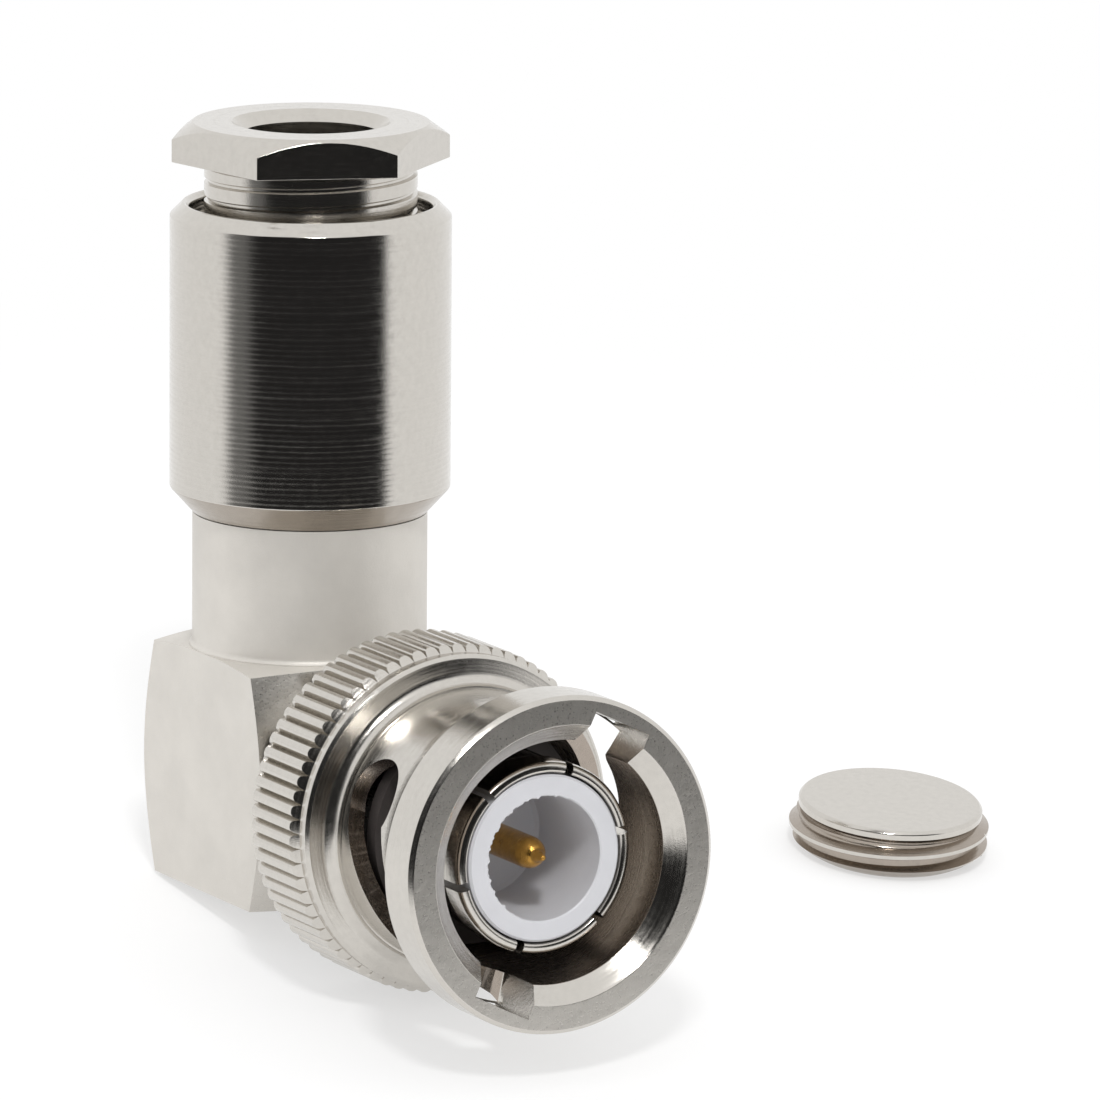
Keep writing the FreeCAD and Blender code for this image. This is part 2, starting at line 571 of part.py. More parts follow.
# The stud runs from the entry notch back along the cam to the detent
CAM_PATH = [(16.15, 158.0), (16.05, 168.0), (17.0, 198.0), (17.5, 214.0), (18.2, 230.0),
            (19.6, 244.0)]
cam_tools = []
cam_mid = 5.7  # radius where the straight runs meet the rods
for side in (0, 180):
    for index, (x, turn) in enumerate(CAM_PATH):
        radius = S.detent_r if index == 0 else S.cam_w / 2
        out = FreeCAD.Rotation(V(0, 0, 1), V(0, math.cos(math.radians(turn + side)),
                                            math.sin(math.radians(turn + side))))
        foot = out.multVec(V(0, 0, S.cam_low_r.number))
        place = FreeCAD.Placement(V(x, 0, 0) + foot, out)
        cam_tools.append(rod("cam_%d_%d" % (side, index), radius, S.cam_r - S.cam_low_r,
                             place))
    for index in range(len(CAM_PATH) - 1):
        (x0, t0), (x1, t1) = CAM_PATH[index], CAM_PATH[index + 1]
        mid = math.radians((t0 + t1) / 2 + side)
        out = V(0, math.cos(mid), math.sin(mid))
        round_way = V(0, -math.sin(mid), math.cos(mid))
        swing = cam_mid * 2 * math.tan(math.radians(t1 - t0) / 2)
        run = V(1, 0, 0) * (x1 - x0) + round_way * swing
        length = run.Length
        run.normalize()
        across = out.cross(run)
        turn = FreeCAD.Rotation(run, across, out, "ZXY")
        start = V((x0 + x1) / 2, 0, 0) + out * S.cam_low_r.number - run * (length / 2)
        start = start - across * (S.cam_w.number / 2)
        cam_tools.append(box("run_%d_%d" % (side, index), length, S.cam_w,
                             S.cam_r - S.cam_low_r, FreeCAD.Placement(start, turn)))
notch_spin = FreeCAD.Rotation(V(1, 0, 0), S.notch_turn.number - 90)
notch_corner = notch_spin.multVec(V(0, -S.cam_w.number / 2, -S.notch_r.number))
notch = box("entry_notch", S.ring_front - S.notch_back + 1, S.cam_w, S.notch_r * 2,
            FreeCAD.Placement(V(S.notch_back.number, 0, 0) + notch_corner, notch_spin))
bayonet = fuse("bayonet", cam_tools + [notch])
pieces["coupling_ring"] = cut("coupling_ring", ring_knurled, bayonet)

# Washers and the retaining ring that hold the coupling ring on the nose
thrust_rear = S.collar_front + S.face_gap
pieces["thrust_washer"] = turned("thrust_washer", "x", [
    (thrust_rear, S.spring_bore_r), (thrust_rear, S.thrust_r),
    (thrust_rear + S.thrust_t, S.thrust_r), (thrust_rear + S.thrust_t, S.spring_bore_r)])
pieces["backing_washer"] = turned("backing_washer", "x", [
    (S.backing_rear, S.spring_bore_r), (S.backing_rear, S.spring_r),
    (S.backing_rear + S.backing_t, S.spring_r),
    (S.backing_rear + S.backing_t, S.spring_bore_r)])
spring_tube = turned("spring_tube", "x", [
    (S.web_front - 1, S.spring_bore_r), (S.web_front - 1, S.spring_r),
    (S.backing_rear + 1, S.spring_r), (S.backing_rear + 1, S.spring_bore_r)])
spring_bend = (S.spring_r * S.spring_r) / (S.spring_rise * 2)
bend_out = rod("bend_out", spring_bend + S.spring_t, S.spring_r * 4, LEVEL)
bend_in = rod("bend_in", spring_bend, S.spring_r * 6, LEVEL)
spring_front = S.backing_rear - S.face_gap
move(bend_out, spring_front - spring_bend - S.spring_t, 0, -S.spring_r * 2)
move(bend_in, spring_front - spring_bend - S.spring_t, 0, -S.spring_r * 3)
bend_sheet = cut("bend_sheet", bend_out, bend_in)
pieces["spring_washer"] = common("spring_washer", spring_tube, bend_sheet)
snap_turned = turned("snap_turned", "x", [
    (S.snap_x + S.face_gap, S.snap_groove_r + S.face_gap),
    (S.snap_x + S.face_gap, S.snap_r), (S.snap_x + S.snap_w - S.face_gap, S.snap_r),
    (S.snap_x + S.snap_w - S.face_gap, S.snap_groove_r + S.face_gap)])
snap_gap_tool = box("snap_gap", S.snap_w + 1, S.snap_gap, S.snap_r + 1, LEVEL)
move(snap_gap_tool, S.snap_x - 0.5, -S.snap_gap / 2, 0)
pieces["retaining_ring"] = cut("retaining_ring", snap_turned, snap_gap_tool)

# Rear cap, taken off and laid beside the elbow; its slotted outer face is down
crest_low = S.cap_first
crest_high = S.cap_first + S.cap_pitch
flank = S.cap_flat * 2
cap_turned = turned("cap_turned", "z", [
    (0, 0), (S.cap_root_r - S.cap_foot, 0), (S.cap_root_r, S.cap_foot * 0.6),
    (S.cap_root_r, crest_low - flank), (S.cap_crest_r, crest_low - S.cap_flat),
    (S.cap_crest_r, crest_low + S.cap_flat), (S.cap_root_r, crest_low + flank),
    (S.cap_root_r, crest_high - flank), (S.cap_crest_r, crest_high - S.cap_flat),
    (S.cap_crest_r, crest_high + S.cap_flat), (S.cap_root_r, crest_high + flank),
    (S.cap_r, crest_high + flank + 0.06), (S.cap_r, S.cap_h - S.cap_edge),
    (S.cap_r - S.cap_edge, S.cap_h), (0, S.cap_h)])
cap_slot = box("cap_slot", S.cap_crest_r * 2 + 2, S.cap_slot_w, S.cap_slot_d + 1, LEVEL)
move(cap_slot, -S.cap_crest_r - 1, -S.cap_slot_w / 2, -1.0)
pieces["rear_cap"] = cut("rear_cap", cap_turned, cap_slot)

# Rest: the connector leans back on the heel of the elbow and the knurl's rear edge
rise = S.knurl_r.number - S.stock_half.number
lean = math.atan(rise / (S.toe_x.number + S.heel_x.number))
lift = S.heel_x.number * math.sin(lean) + S.stock_half.number * math.cos(lean)
last = len(SIZES)
rest_cells = [
    ("lean", "=atan((knurl_r - stock_half) / (ring_rear + knurl_edge + %s))"
     % S.heel_x.words.replace("sizes.", "")),
    ("lift", "=%s * sin(lean) + stock_half * cos(lean)"
     % S.heel_x.words.replace("sizes.", "")),
    ("shift_x", "0"), ("shift_y", "0")]
for word, text in rest_cells:
    last += 1
    sheet.set("A%d" % last, word)
    sheet.set("B%d" % last, text)
    sheet.setAlias("B%d" % last, word)
SHIFT_CELLS = ("B%d" % (last - 1), "B%d" % last)
doc.recompute()

for name, item in pieces.items():
    item.Label = name
    if name == "rear_cap":
        item.Placement = FreeCAD.Placement(V(0, 0, 0), FreeCAD.Rotation(V(0, 0, 1), 35))
        item.setExpression("Placement.Base.x", "sizes.cap_x + sizes.shift_x")
        item.setExpression("Placement.Base.y", "sizes.cap_y + sizes.shift_y")
    else:
        turn = FreeCAD.Rotation(V(0, 1, 0), -math.degrees(lean))
        item.Placement = FreeCAD.Placement(V(0, 0, lift), turn)
        item.setExpression("Placement.Base.x", "sizes.shift_x")
        item.setExpression("Placement.Base.y", "sizes.shift_y")
        item.setExpression("Placement.Base.z", "sizes.lift")
        item.setExpression("Placement.Rotation.Angle", "0 deg - sizes.lean")
doc.recompute()

# The origin is set under the middle of the whole set
whole = FreeCAD.BoundBox()
for item in pieces.values():
    whole.add(item.Shape.optimalBoundingBox(False, False))
sheet.set(SHIFT_CELLS[0], repr(round(-(whole.XMin + whole.XMax) / 2, 4)))
sheet.set(SHIFT_CELLS[1], repr(round(-(whole.YMin + whole.YMax) / 2, 4)))
doc.recompute()

faults = []
for item in doc.Objects:
    if "Invalid" in item.State or "Error" in item.State:
        faults.append(item.Name + " " + " ".join(item.State))
for name, item in pieces.items():
    shape = item.Shape
    if shape.isNull() or not shape.isValid() or not shape.Solids:
        faults.append(name + " has no sound solid")
        continue
    box_now = shape.optimalBoundingBox(False, False)
    print(name, "solids", len(shape.Solids), "volume", round(shape.Volume, 3),
          "x", round(box_now.XMin, 3), round(box_now.XMax, 3),
          "y", round(box_now.YMin, 3), round(box_now.YMax, 3),
          "z", round(box_now.ZMin, 3), round(box_now.ZMax, 3))
    shape.exportStep("parts/" + name + ".step")
print("lean", round(math.degrees(lean), 4), "lift", round(lift, 4),
      "shift", sheet.get("shift_x"), sheet.get("shift_y"))
if faults:
    print("\n".join(faults))
    sys.exit(1)
print("pieces", len(pieces))
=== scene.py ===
import json
import math
import bmesh
import bpy
from bpy.props import FloatProperty, FloatVectorProperty, IntProperty, PointerProperty
from mathutils import Matrix, Vector


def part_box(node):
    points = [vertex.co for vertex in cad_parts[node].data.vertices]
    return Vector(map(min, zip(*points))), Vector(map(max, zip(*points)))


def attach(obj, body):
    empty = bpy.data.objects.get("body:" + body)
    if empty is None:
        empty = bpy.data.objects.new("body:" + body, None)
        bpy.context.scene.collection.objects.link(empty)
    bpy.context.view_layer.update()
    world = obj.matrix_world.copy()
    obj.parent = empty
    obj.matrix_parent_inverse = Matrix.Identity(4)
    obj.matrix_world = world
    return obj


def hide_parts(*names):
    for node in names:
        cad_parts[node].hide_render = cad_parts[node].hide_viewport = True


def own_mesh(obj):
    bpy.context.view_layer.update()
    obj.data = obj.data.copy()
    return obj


bl_info = {
    "name": "Right-angle bayonet plug",
    "version": (1, 0, 0),
    "blender": (4, 5, 0),
    "location": "3D View > Sidebar > Plug",
    "description": "Builds a right-angle coaxial bayonet plug and its loose rear cap",
    "category": "Add Mesh",
}

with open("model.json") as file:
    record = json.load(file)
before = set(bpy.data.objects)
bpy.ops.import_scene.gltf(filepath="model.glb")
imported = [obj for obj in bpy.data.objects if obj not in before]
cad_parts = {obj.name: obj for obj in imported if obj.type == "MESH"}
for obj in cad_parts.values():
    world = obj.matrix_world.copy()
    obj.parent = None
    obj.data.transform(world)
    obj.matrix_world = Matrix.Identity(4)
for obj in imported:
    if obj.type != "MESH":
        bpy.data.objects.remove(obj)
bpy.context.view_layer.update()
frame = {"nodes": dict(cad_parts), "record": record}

# Places, in millimetres along the plug axis or up the cable arm, from where they cross
MOUNTS = {mount["name"]: mount for mount in frame["record"]["mounts"]}
PIN_MIDDLE = 17.6
PLUG_WAY = Vector(MOUNTS["centre_pin"]["axis"])
ARM_WAY = Vector(MOUNTS["cable_entry"]["axis"])
CORNER = Vector(MOUNTS["centre_pin"]["pos_m"]) - PLUG_WAY * PIN_MIDDLE * 0.001


def seat_of(origin, across, side, up):
    """Matrix that takes millimetres in a piece's own axes to metres in the frame."""
    turn = Matrix((across, side, up)).transposed().to_4x4()
    return Matrix.Translation(origin) @ turn @ Matrix.Scale(0.001, 4)


SEAT_ARM = seat_of(CORNER, PLUG_WAY, ARM_WAY.cross(PLUG_WAY), ARM_WAY)
SEAT_PLUG = seat_of(CORNER, ARM_WAY.cross(PLUG_WAY), ARM_WAY, PLUG_WAY)
CAP_LOW, CAP_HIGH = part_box("rear_cap")
CAP_TURN = math.radians(35.0)
SEAT_CAP = seat_of(
    Vector(((CAP_LOW[0] + CAP_HIGH[0]) / 2, (CAP_LOW[1] + CAP_HIGH[1]) / 2, CAP_LOW[2])),
    Vector((math.cos(CAP_TURN), math.sin(CAP_TURN), 0.0)),
    Vector((-math.sin(CAP_TURN), math.cos(CAP_TURN), 0.0)),
    Vector((0.0, 0.0, 1.0)))


class PlugSizes(bpy.types.PropertyGroup):
    """Sizes of the fine detail, in millimetres"""
    thread_pitch: FloatProperty(
        name="Thread pitch", description="Advance of the threads in one turn, in millimetres",
        default=0.79, min=0.4, max=1.2, unit="NONE")
    gland_groove: FloatProperty(
        name="Gland groove", description="Depth of the gland nut's thread, in millimetres",
        default=0.14, min=0.05, max=0.4, unit="NONE")
    knurl_depth: FloatProperty(
        name="Knurl depth", description="Depth of the knurl's grooves, in millimetres",
        default=0.34, min=0.1, max=0.4, unit="NONE")
    edge_round: FloatProperty(
        name="Edge rounding", description="Rounding of machined edges, in millimetres",
        default=0.06, min=0.01, max=0.12, unit="NONE")
    turned_steps: IntProperty(
        name="Turned steps", description="Steps of a turned surface in one round",
        default=240, min=96, max=360)


class PlugColours(bpy.types.PropertyGroup):
    """Colours of the finishes"""
    nickel: FloatVectorProperty(
        name="Nickel", description="Colour of the nickel plate", subtype="COLOR", size=3,
        default=(0.62, 0.593, 0.55), min=0.0, max=1.0)
    gold: FloatVectorProperty(
        name="Gold", description="Colour of the gold plate", subtype="COLOR", size=3,
        default=(0.72, 0.39, 0.085), min=0.0, max=1.0)
    steel: FloatVectorProperty(
        name="Spring steel", description="Colour of the washers", subtype="COLOR", size=3,
        default=(0.5, 0.49, 0.47), min=0.0, max=1.0)
    insulator: FloatVectorProperty(
        name="Insulator", description="Colour of the white insulators", subtype="COLOR",
        size=3, default=(0.62, 0.622, 0.648), min=0.0, max=1.0)
    gasket: FloatVectorProperty(
        name="Gasket", description="Colour of the rubber gaskets", subtype="COLOR", size=3,
        default=(0.05, 0.042, 0.04), min=0.0, max=1.0)


# Modelling by hand

def rest_hands():
    if bpy.context.object and bpy.context.object.mode != "OBJECT":
        bpy.ops.object.mode_set(mode="OBJECT")
    bpy.ops.object.select_all(action="DESELECT")


def take(piece):
    rest_hands()
    piece.select_set(True)
    bpy.context.view_layer.objects.active = piece


def edit(piece):
    take(piece)
    bpy.ops.object.mode_set(mode="EDIT")
    bpy.ops.mesh.select_mode(type="VERT")
    bpy.ops.mesh.select_all(action="DESELECT")
    return bmesh.from_edit_mesh(piece.data)


def draw_line(name, outline, closed):
    """Draws an outline of (height, radius) points by pulling one vertex along."""
    rest_hands()
    height, radius = outline[0]
    bpy.ops.mesh.primitive_plane_add(size=0.5, location=(0, 0, 0))
    piece = bpy.context.object
    piece.name = name
    piece.data.name = name
    bpy.ops.object.mode_set(mode="EDIT")
    bpy.ops.mesh.select_mode(type="VERT")
    bpy.ops.mesh.select_all(action="SELECT")
    bpy.ops.mesh.merge(type="CENTER")
    bpy.ops.transform.translate(value=(radius, 0, height))
    here = (height, radius)
    path = list(outline[1:]) + ([outline[0]] if closed else [])
    for there in path:
        move = (there[1] - here[1], 0, there[0] - here[0])
        bpy.ops.mesh.extrude_region_move(TRANSFORM_OT_translate={"value": move})
        here = there
    if closed:
        bpy.ops.mesh.select_all(action="SELECT")
        bpy.ops.mesh.remove_doubles(threshold=0.0002)
    return piece


def close_up(piece, near=0.0002):
    """Merges seams, poles and slivers and turns the faces outwards."""
    edit(piece)
    bpy.ops.mesh.select_all(action="SELECT")
    bpy.ops.mesh.remove_doubles(threshold=near)
    bpy.ops.mesh.normals_make_consistent(inside=False)
    rest_hands()


def turn_up(name, outline, steps, closed=True):
    """Turned piece about the vertical axis, from an outline of (height, radius)."""
    piece = draw_line(name, outline, closed)
    bpy.ops.mesh.select_all(action="SELECT")
    bpy.ops.mesh.spin(steps=steps, angle=2 * math.pi, center=(0, 0, 0), axis=(0, 0, 1))
    close_up(piece)
    return piece


def thread_rod(name, crest, root, pitch, low, high, crest_wide, flank, start=0.0):
    """Solid threaded rod between two heights, right-handed."""
    first = low - 1.5 * pitch + start
    outline = [(first, root), (first + (pitch - crest_wide) / 2 - flank, root),
               (first + (pitch - crest_wide) / 2, crest),
               (first + (pitch + crest_wide) / 2, crest),
               (first + (pitch + crest_wide) / 2 + flank, root), (first + pitch, root)]
    piece = draw_line(name, outline, False)
    rest_hands()
    take(piece)
    screw = piece.modifiers.new("thread", "SCREW")
    screw.axis = "Z"
    screw.angle = 2 * math.pi
    screw.screw_offset = pitch
    screw.iterations = int(math.ceil((high - low) / pitch)) + 4
    screw.steps = 120
    screw.render_steps = 120
    bpy.ops.object.modifier_apply(modifier=screw.name)
    close_up(piece)
    for height, way in ((low, -1), (high, 1)):
        edit(piece)
        bpy.ops.mesh.select_all(action="SELECT")
        bpy.ops.mesh.bisect(plane_co=(0, 0, height), plane_no=(0, 0, way),
                            use_fill=True, clear_outer=True)
    close_up(piece)
    return piece


def carve(piece, tool, operation="DIFFERENCE", keep=False, crossing=False):
    mod = piece.modifiers.new("carve", "BOOLEAN")
    mod.use_self = crossing
    mod.operation = operation
    mod.object = tool
    mod.solver = "EXACT"
    take(piece)
    bpy.ops.object.modifier_apply(modifier=mod.name)
    if not keep:
        bpy.data.objects.remove(tool, do_unlink=True)
    return piece


def ease(piece, width, segments=2, angle=32.0):
    """Rounds the sharp edges a little."""
    close_up(piece, 0.003)
    mod = piece.modifiers.new("ease", "BEVEL")
    mod.width = width
    mod.segments = segments
    mod.limit_method = "ANGLE"
    mod.angle_limit = math.radians(angle)
    mod.harden_normals = False
    mod.use_clamp_overlap = True
    take(piece)
    bpy.ops.object.modifier_apply(modifier=mod.name)


def block(name, size, place, turn=0.0, axis="Z"):
    rest_hands()
    bpy.ops.mesh.primitive_cube_add(size=1.0, location=place)
    piece = bpy.context.object
    piece.name = name
    piece.scale = size
    bpy.ops.object.transform_apply(location=True, rotation=True, scale=True)
    if turn:
        piece.rotation_euler["XYZ".index(axis)] = turn
        bpy.ops.object.transform_apply(location=True, rotation=True, scale=True)
    return piece


def bend(here, there, centre, count=8):
    """Points of an arc after `here` up to `there`, its centre at that height."""
    (x0, r0), (x1, r1) = here, there
    cy = ((x1 - centre) ** 2 + r1 ** 2 - (x0 - centre) ** 2 - r0 ** 2) / (2 * (r1 - r0))
    radius = math.hypot(x0 - centre, r0 - cy)
    a0 = math.atan2(r0 - cy, x0 - centre)
    a1 = math.atan2(r1 - cy, x1 - centre)
    swing = (a1 - a0 + math.pi) % (2 * math.pi) - math.pi
    points = []
    for index in range(1, count + 1):
        angle = a0 + swing * index / count
        points.append((centre + radius * math.cos(angle), cy + radius * math.sin(angle)))
    points[-1] = there
    return points


def hand_over(piece, seat, body, material, nodes, smooth=30.0):
    """Smooths a piece, puts it in its place and gives it its body and finish."""
    close_up(piece, 0.003)
    take(piece)
    piece.data.materials.clear()
    piece.data.materials.append(material)
    bpy.ops.object.shade_smooth_by_angle(angle=math.radians(smooth))
    mod = piece.modifiers.new("normals", "WEIGHTED_NORMAL")
    mod.keep_sharp = True
    mod.weight = 60
    bpy.ops.object.modifier_apply(modifier=mod.name)
    piece.matrix_world = seat
    bpy.ops.object.transform_apply(location=True, rotation=True, scale=True)
    rest_hands()
    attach(piece, body)
    if nodes:
        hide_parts(*nodes)
    return piece


def patch(piece, seat, finish, chosen):
    """Gives another finish, or painted shade, to the faces that their height, radius and lean
    pick out.
    """
    piece.data.materials.append(finish_of(finish))
    back = seat.inverted()
    for face in piece.data.polygons:
        spot = back @ face.center
        way = (back.to_3x3() @ face.normal) * 0.001
        radius = math.hypot(spot.x, spot.y) or 1.0
        outward = (way.x * spot.x + way.y * spot.y) / radius
        if chosen(spot.z, radius, outward, way.z):
            face.material_index = len(piece.data.materials) - 1


# Finishes

class Shade:
    """Lays out the nodes of one material."""

    def __init__(self, name, seat=None):
        self.material = bpy.data.materials.new(name)
        self.material.use_nodes = True
        self.tree = self.material.node_tree
        self.bsdf = self.tree.nodes["Principled BSDF"]
        place = self.node("ShaderNodeTexCoord").outputs["Object"]
        mapping = self.node("ShaderNodeMapping")
        mapping.vector_type = "TEXTURE"
        where, turn, size = (seat or Matrix.Scale(0.001, 4)).decompose()
        mapping.inputs["Location"].default_value = where
        mapping.inputs["Rotation"].default_value = turn.to_euler()
        mapping.inputs["Scale"].default_value = size
        self.link(place, mapping.inputs["Vector"])
        self.place = mapping.outputs["Vector"]

    def node(self, kind, **settings):
        node = self.tree.nodes.new(kind)
        for key, value in settings.items():
            setattr(node, key, value)
        return node

    def link(self, source, target):
        self.tree.links.new(source, target)

    def sum(self, operation, first, second):
        node = self.node("ShaderNodeMath", operation=operation)
        for socket, value in zip(node.inputs, (first, second)):
            if isinstance(value, (int, float)):
                socket.default_value = value
            else:
                self.link(value, socket)
        return node.outputs[0]

    def noise(self, scale, detail=2.0, rough=0.5, vector=None, flat=False, distort=0.0):
        node = self.node("ShaderNodeTexNoise", noise_dimensions="2D" if flat else "3D")
        node.inputs["Scale"].default_value = scale
        node.inputs["Detail"].default_value = detail
        node.inputs["Roughness"].default_value = rough
        node.inputs["Distortion"].default_value = distort
        self.link(vector or self.place, node.inputs["Vector"])
        return node.outputs["Fac"]

    def spread(self, value, low, high, out_low=0.0, out_high=1.0):
        node = self.node("ShaderNodeMapRange")
        node.inputs["From Min"].default_value = low
        node.inputs["From Max"].default_value = high
        node.inputs["To Min"].default_value = out_low
        node.inputs["To Max"].default_value = out_high
        self.link(value, node.inputs["Value"])
        return node.outputs["Result"]

    def lathe_place(self):
        """Radius and height about the piece's own axis, for marks left by turning."""
        split = self.node("ShaderNodeSeparateXYZ")
        self.link(self.place, split.inputs[0])
        across = self.sum("POWER", split.outputs["X"], 2.0)
        along = self.sum("POWER", split.outputs["Y"], 2.0)
        radius = self.sum("SQRT", self.sum("ADD", across, along), 0.0)
        drift = self.sum("MULTIPLY", self.noise(0.6, 1.0), 0.05)
        join = self.node("ShaderNodeCombineXYZ")
        self.link(self.sum("ADD", radius, drift), join.inputs["X"])
        self.link(self.sum("ADD", split.outputs["Z"], drift), join.inputs["Y"])
        return join.outputs[0]

    def colour(self, base, factor, other):
        """Mixes two colours and sets the base colour."""
        mix = self.node("ShaderNodeMix", data_type="RGBA")
        mix.inputs[6].default_value = (*base, 1.0)
        mix.inputs[7].default_value = (*other, 1.0)
        self.link(factor, mix.inputs[0])
        self.link(mix.outputs[2], self.bsdf.inputs["Base Color"])

    def bump(self, height, depth, strength=1.0, under=None):
        node = self.node("ShaderNodeBump")
        node.inputs["Strength"].default_value = strength
        node.inputs["Distance"].default_value = depth
        self.link(height, node.inputs["Height"])
        if under:
            self.link(under, node.inputs["Normal"])
        return node.outputs["Normal"]


def darker(colour, factor):
    return tuple(channel * factor for channel in colour)


def turned_metal(name, colour, seat, roughness, marks, grain, tint=0.95, feed=0.0):
    """Plated metal with the fine rings that turning leaves, evenly spaced where it feeds."""
    shade = Shade(name, seat)
    rings = shade.lathe_place()
    fine = shade.noise(9.0, 4.0, 0.65, rings, flat=True)
    coarse = shade.noise(2.4, 2.0, 0.5, rings, flat=True)
    spots = shade.noise(3.0, 3.0, 0.6)
    speck = shade.noise(16.0, 2.0, 0.7)
    shade.bsdf.inputs["Metallic"].default_value = 1.0
    shade.colour(colour, shade.spread(spots, 0.35, 0.75), darker(colour, tint))
    rough = shade.sum("ADD", shade.spread(fine, 0.3, 0.7, -0.05, 0.05),
                      shade.spread(spots, 0.3, 0.7, roughness - 0.03, roughness + 0.04))
    shade.link(rough, shade.bsdf.inputs["Roughness"])
    normal = shade.bump(shade.sum("ADD", fine, coarse), marks)
    if feed:
        split = shade.node("ShaderNodeSeparateXYZ")
        shade.link(rings, split.inputs[0])
        wave = shade.sum("SINE", shade.sum("MULTIPLY", split.outputs["Y"],
                                           2 * math.pi / 0.23), 0.0)
        normal = shade.bump(shade.sum("MULTIPLY", wave, 0.5), feed, under=normal)
    normal = shade.bump(speck, grain, under=normal)
    shade.link(normal, shade.bsdf.inputs["Normal"])
    return shade.material


def satin_metal(name, colour, seat, roughness, grain, tint=0.95, metallic=1.0):
    """Plated metal with a soft, slightly grainy face."""
    shade = Shade(name, seat)
    cloud = shade.noise(0.45, 3.0, 0.55)
    fine = shade.noise(11.0, 4.0, 0.7)
    wide = shade.noise(1.8, 2.0, 0.5)
    shade.bsdf.inputs["Metallic"].default_value = metallic
    shade.colour(colour, shade.spread(cloud, 0.3, 0.7), darker(colour, tint))
    shade.link(shade.spread(fine, 0.3, 0.7, roughness - 0.05, roughness + 0.06),
               shade.bsdf.inputs["Roughness"])
    normal = shade.bump(fine, grain)
    normal = shade.bump(wide, grain * 1.5, under=normal)
    shade.link(normal, shade.bsdf.inputs["Normal"])
    return shade.material


def moulded(name, colour, seat, roughness, tint, sheen=0.0):
    """White insulator or rubber, with faint turning rings and specks."""
    shade = Shade(name, seat)
    rings = shade.noise(6.0, 3.0, 0.6, shade.lathe_place(), flat=True)
    cloud = shade.noise(0.8, 3.0, 0.55)
    speck = shade.noise(14.0, 2.0, 0.6)
    shade.colour(colour, shade.spread(cloud, 0.3, 0.7), darker(colour, tint))
    shade.link(shade.spread(speck, 0.3, 0.7, roughness - 0.06, roughness + 0.06),
               shade.bsdf.inputs["Roughness"])
    if sheen:
        shade.bsdf.inputs["Subsurface Weight"].default_value = sheen
        shade.bsdf.inputs["Subsurface Radius"].default_value = (1.0, 1.0, 1.0)
        shade.bsdf.inputs["Subsurface Scale"].default_value = 0.0004
    normal = shade.bump(rings, 0.000006)
    normal = shade.bump(speck, 0.000004, under=normal)
    shade.link(normal, shade.bsdf.inputs["Normal"])
    return shade.material


FINISHES = {}


def finish_of(name):
    """Each finish is made once, when its first piece asks for it."""
    if name in FINISHES:
        return FINISHES[name]
    colours = bpy.context.scene.plug_colours
    nickel = tuple(colours.nickel)
    recipes = {
        "ring_nickel": lambda: turned_metal(
            "ring_nickel", nickel, SEAT_PLUG, 0.17, 0.000005, 0.0000025),
        "barrel_nickel": lambda: turned_metal(
            "barrel_nickel", nickel, SEAT_ARM, 0.15, 0.0000015, 0.000002, feed=0.000004),
        # Darker, browner copy of the nickel: painted shade on the barrel's downward-facing foot
        # bevel, in place of the dim reflection from below
        "foot_painted_shade": lambda: turned_metal(
            "foot_painted_shade", (nickel[0] * 0.6, nickel[1] * 0.56, nickel[2] * 0.52),
            SEAT_ARM, 0.2, 0.000003, 0.000002),
        "contact_nickel": lambda: turned_metal(
            "contact_nickel", nickel, SEAT_PLUG, 0.12, 0.000004, 0.000002),
        "gland_nickel": lambda: turned_metal(
            "gland_nickel", nickel, SEAT_ARM, 0.16, 0.000004, 0.000003),
        "elbow_nickel": lambda: satin_metal(
            "elbow_nickel", darker(nickel, 1.1), SEAT_ARM, 0.46, 0.000009, 0.92, 0.35),
        "face_nickel": lambda: satin_metal(
            "face_nickel", nickel, SEAT_PLUG, 0.3, 0.000006),
        # Darker, browner copy of the nickel: painted shade in the ring's bore and on its cam
        # slot walls; the higher roughness is the rougher cut there
        "inner_painted_shade": lambda: turned_metal(
            "inner_painted_shade", (nickel[0] * 0.64, nickel[1] * 0.58, nickel[2] * 0.54),
            SEAT_PLUG, 0.25, 0.000004, 0.000003),
        "cap_nickel": lambda: turned_metal(
            "cap_nickel", nickel, SEAT_CAP, 0.15, 0.000003, 0.000002),
        # Darker, browner copy of the nickel: painted shade on the cap's thread flanks and
        # valleys, inside the crest radius
        "valley_painted_shade": lambda: turned_metal(
            "valley_painted_shade", (nickel[0] * 0.64, nickel[1] * 0.59, nickel[2] * 0.55),
            SEAT_CAP, 0.2, 0.000004, 0.000003),
        "gold": lambda: turned_metal(
            "gold", tuple(colours.gold), SEAT_PLUG, 0.22, 0.000005, 0.000015, 0.75),
        "spring_steel": lambda: satin_metal(
            "spring_steel", tuple(colours.steel), SEAT_PLUG, 0.3, 0.000004),
        "plug_insulator": lambda: moulded(
            "plug_insulator", tuple(colours.insulator), SEAT_PLUG, 0.42, 0.96, 0.25),
        "arm_insulator": lambda: moulded(
            "arm_insulator", tuple(colours.insulator), SEAT_ARM, 0.42, 0.96, 0.25),
        "plug_gasket": lambda: moulded(
            "plug_gasket", tuple(colours.gasket), SEAT_PLUG, 0.55, 0.8),
        "arm_gasket": lambda: moulded(
            "arm_gasket", tuple(colours.gasket), SEAT_ARM, 0.55, 0.8),
    }
    FINISHES[name] = recipes[name]()
    return FINISHES[name]


def dress(node, finish):
    """Gives a CAD node that keeps its shape its finish."""
    piece = frame["nodes"][node]
    piece.data.materials.clear()
    piece.data.materials.append(finish_of(finish))


# Places shared by several pieces, in millimetres

NECK_TOP = 11.08
BARREL_LOW = 11.11
BARREL_TOP = 24.47
HEX_LOW = 26.27
HEX_TOP = 27.95
SHANK_LOW = 19.49
RING_REAR = 9.0
RING_FRONT = 22.57
FINGER_FRONT = 21.06
KNURL_TIP = 7.5
KNURL_END = 12.85


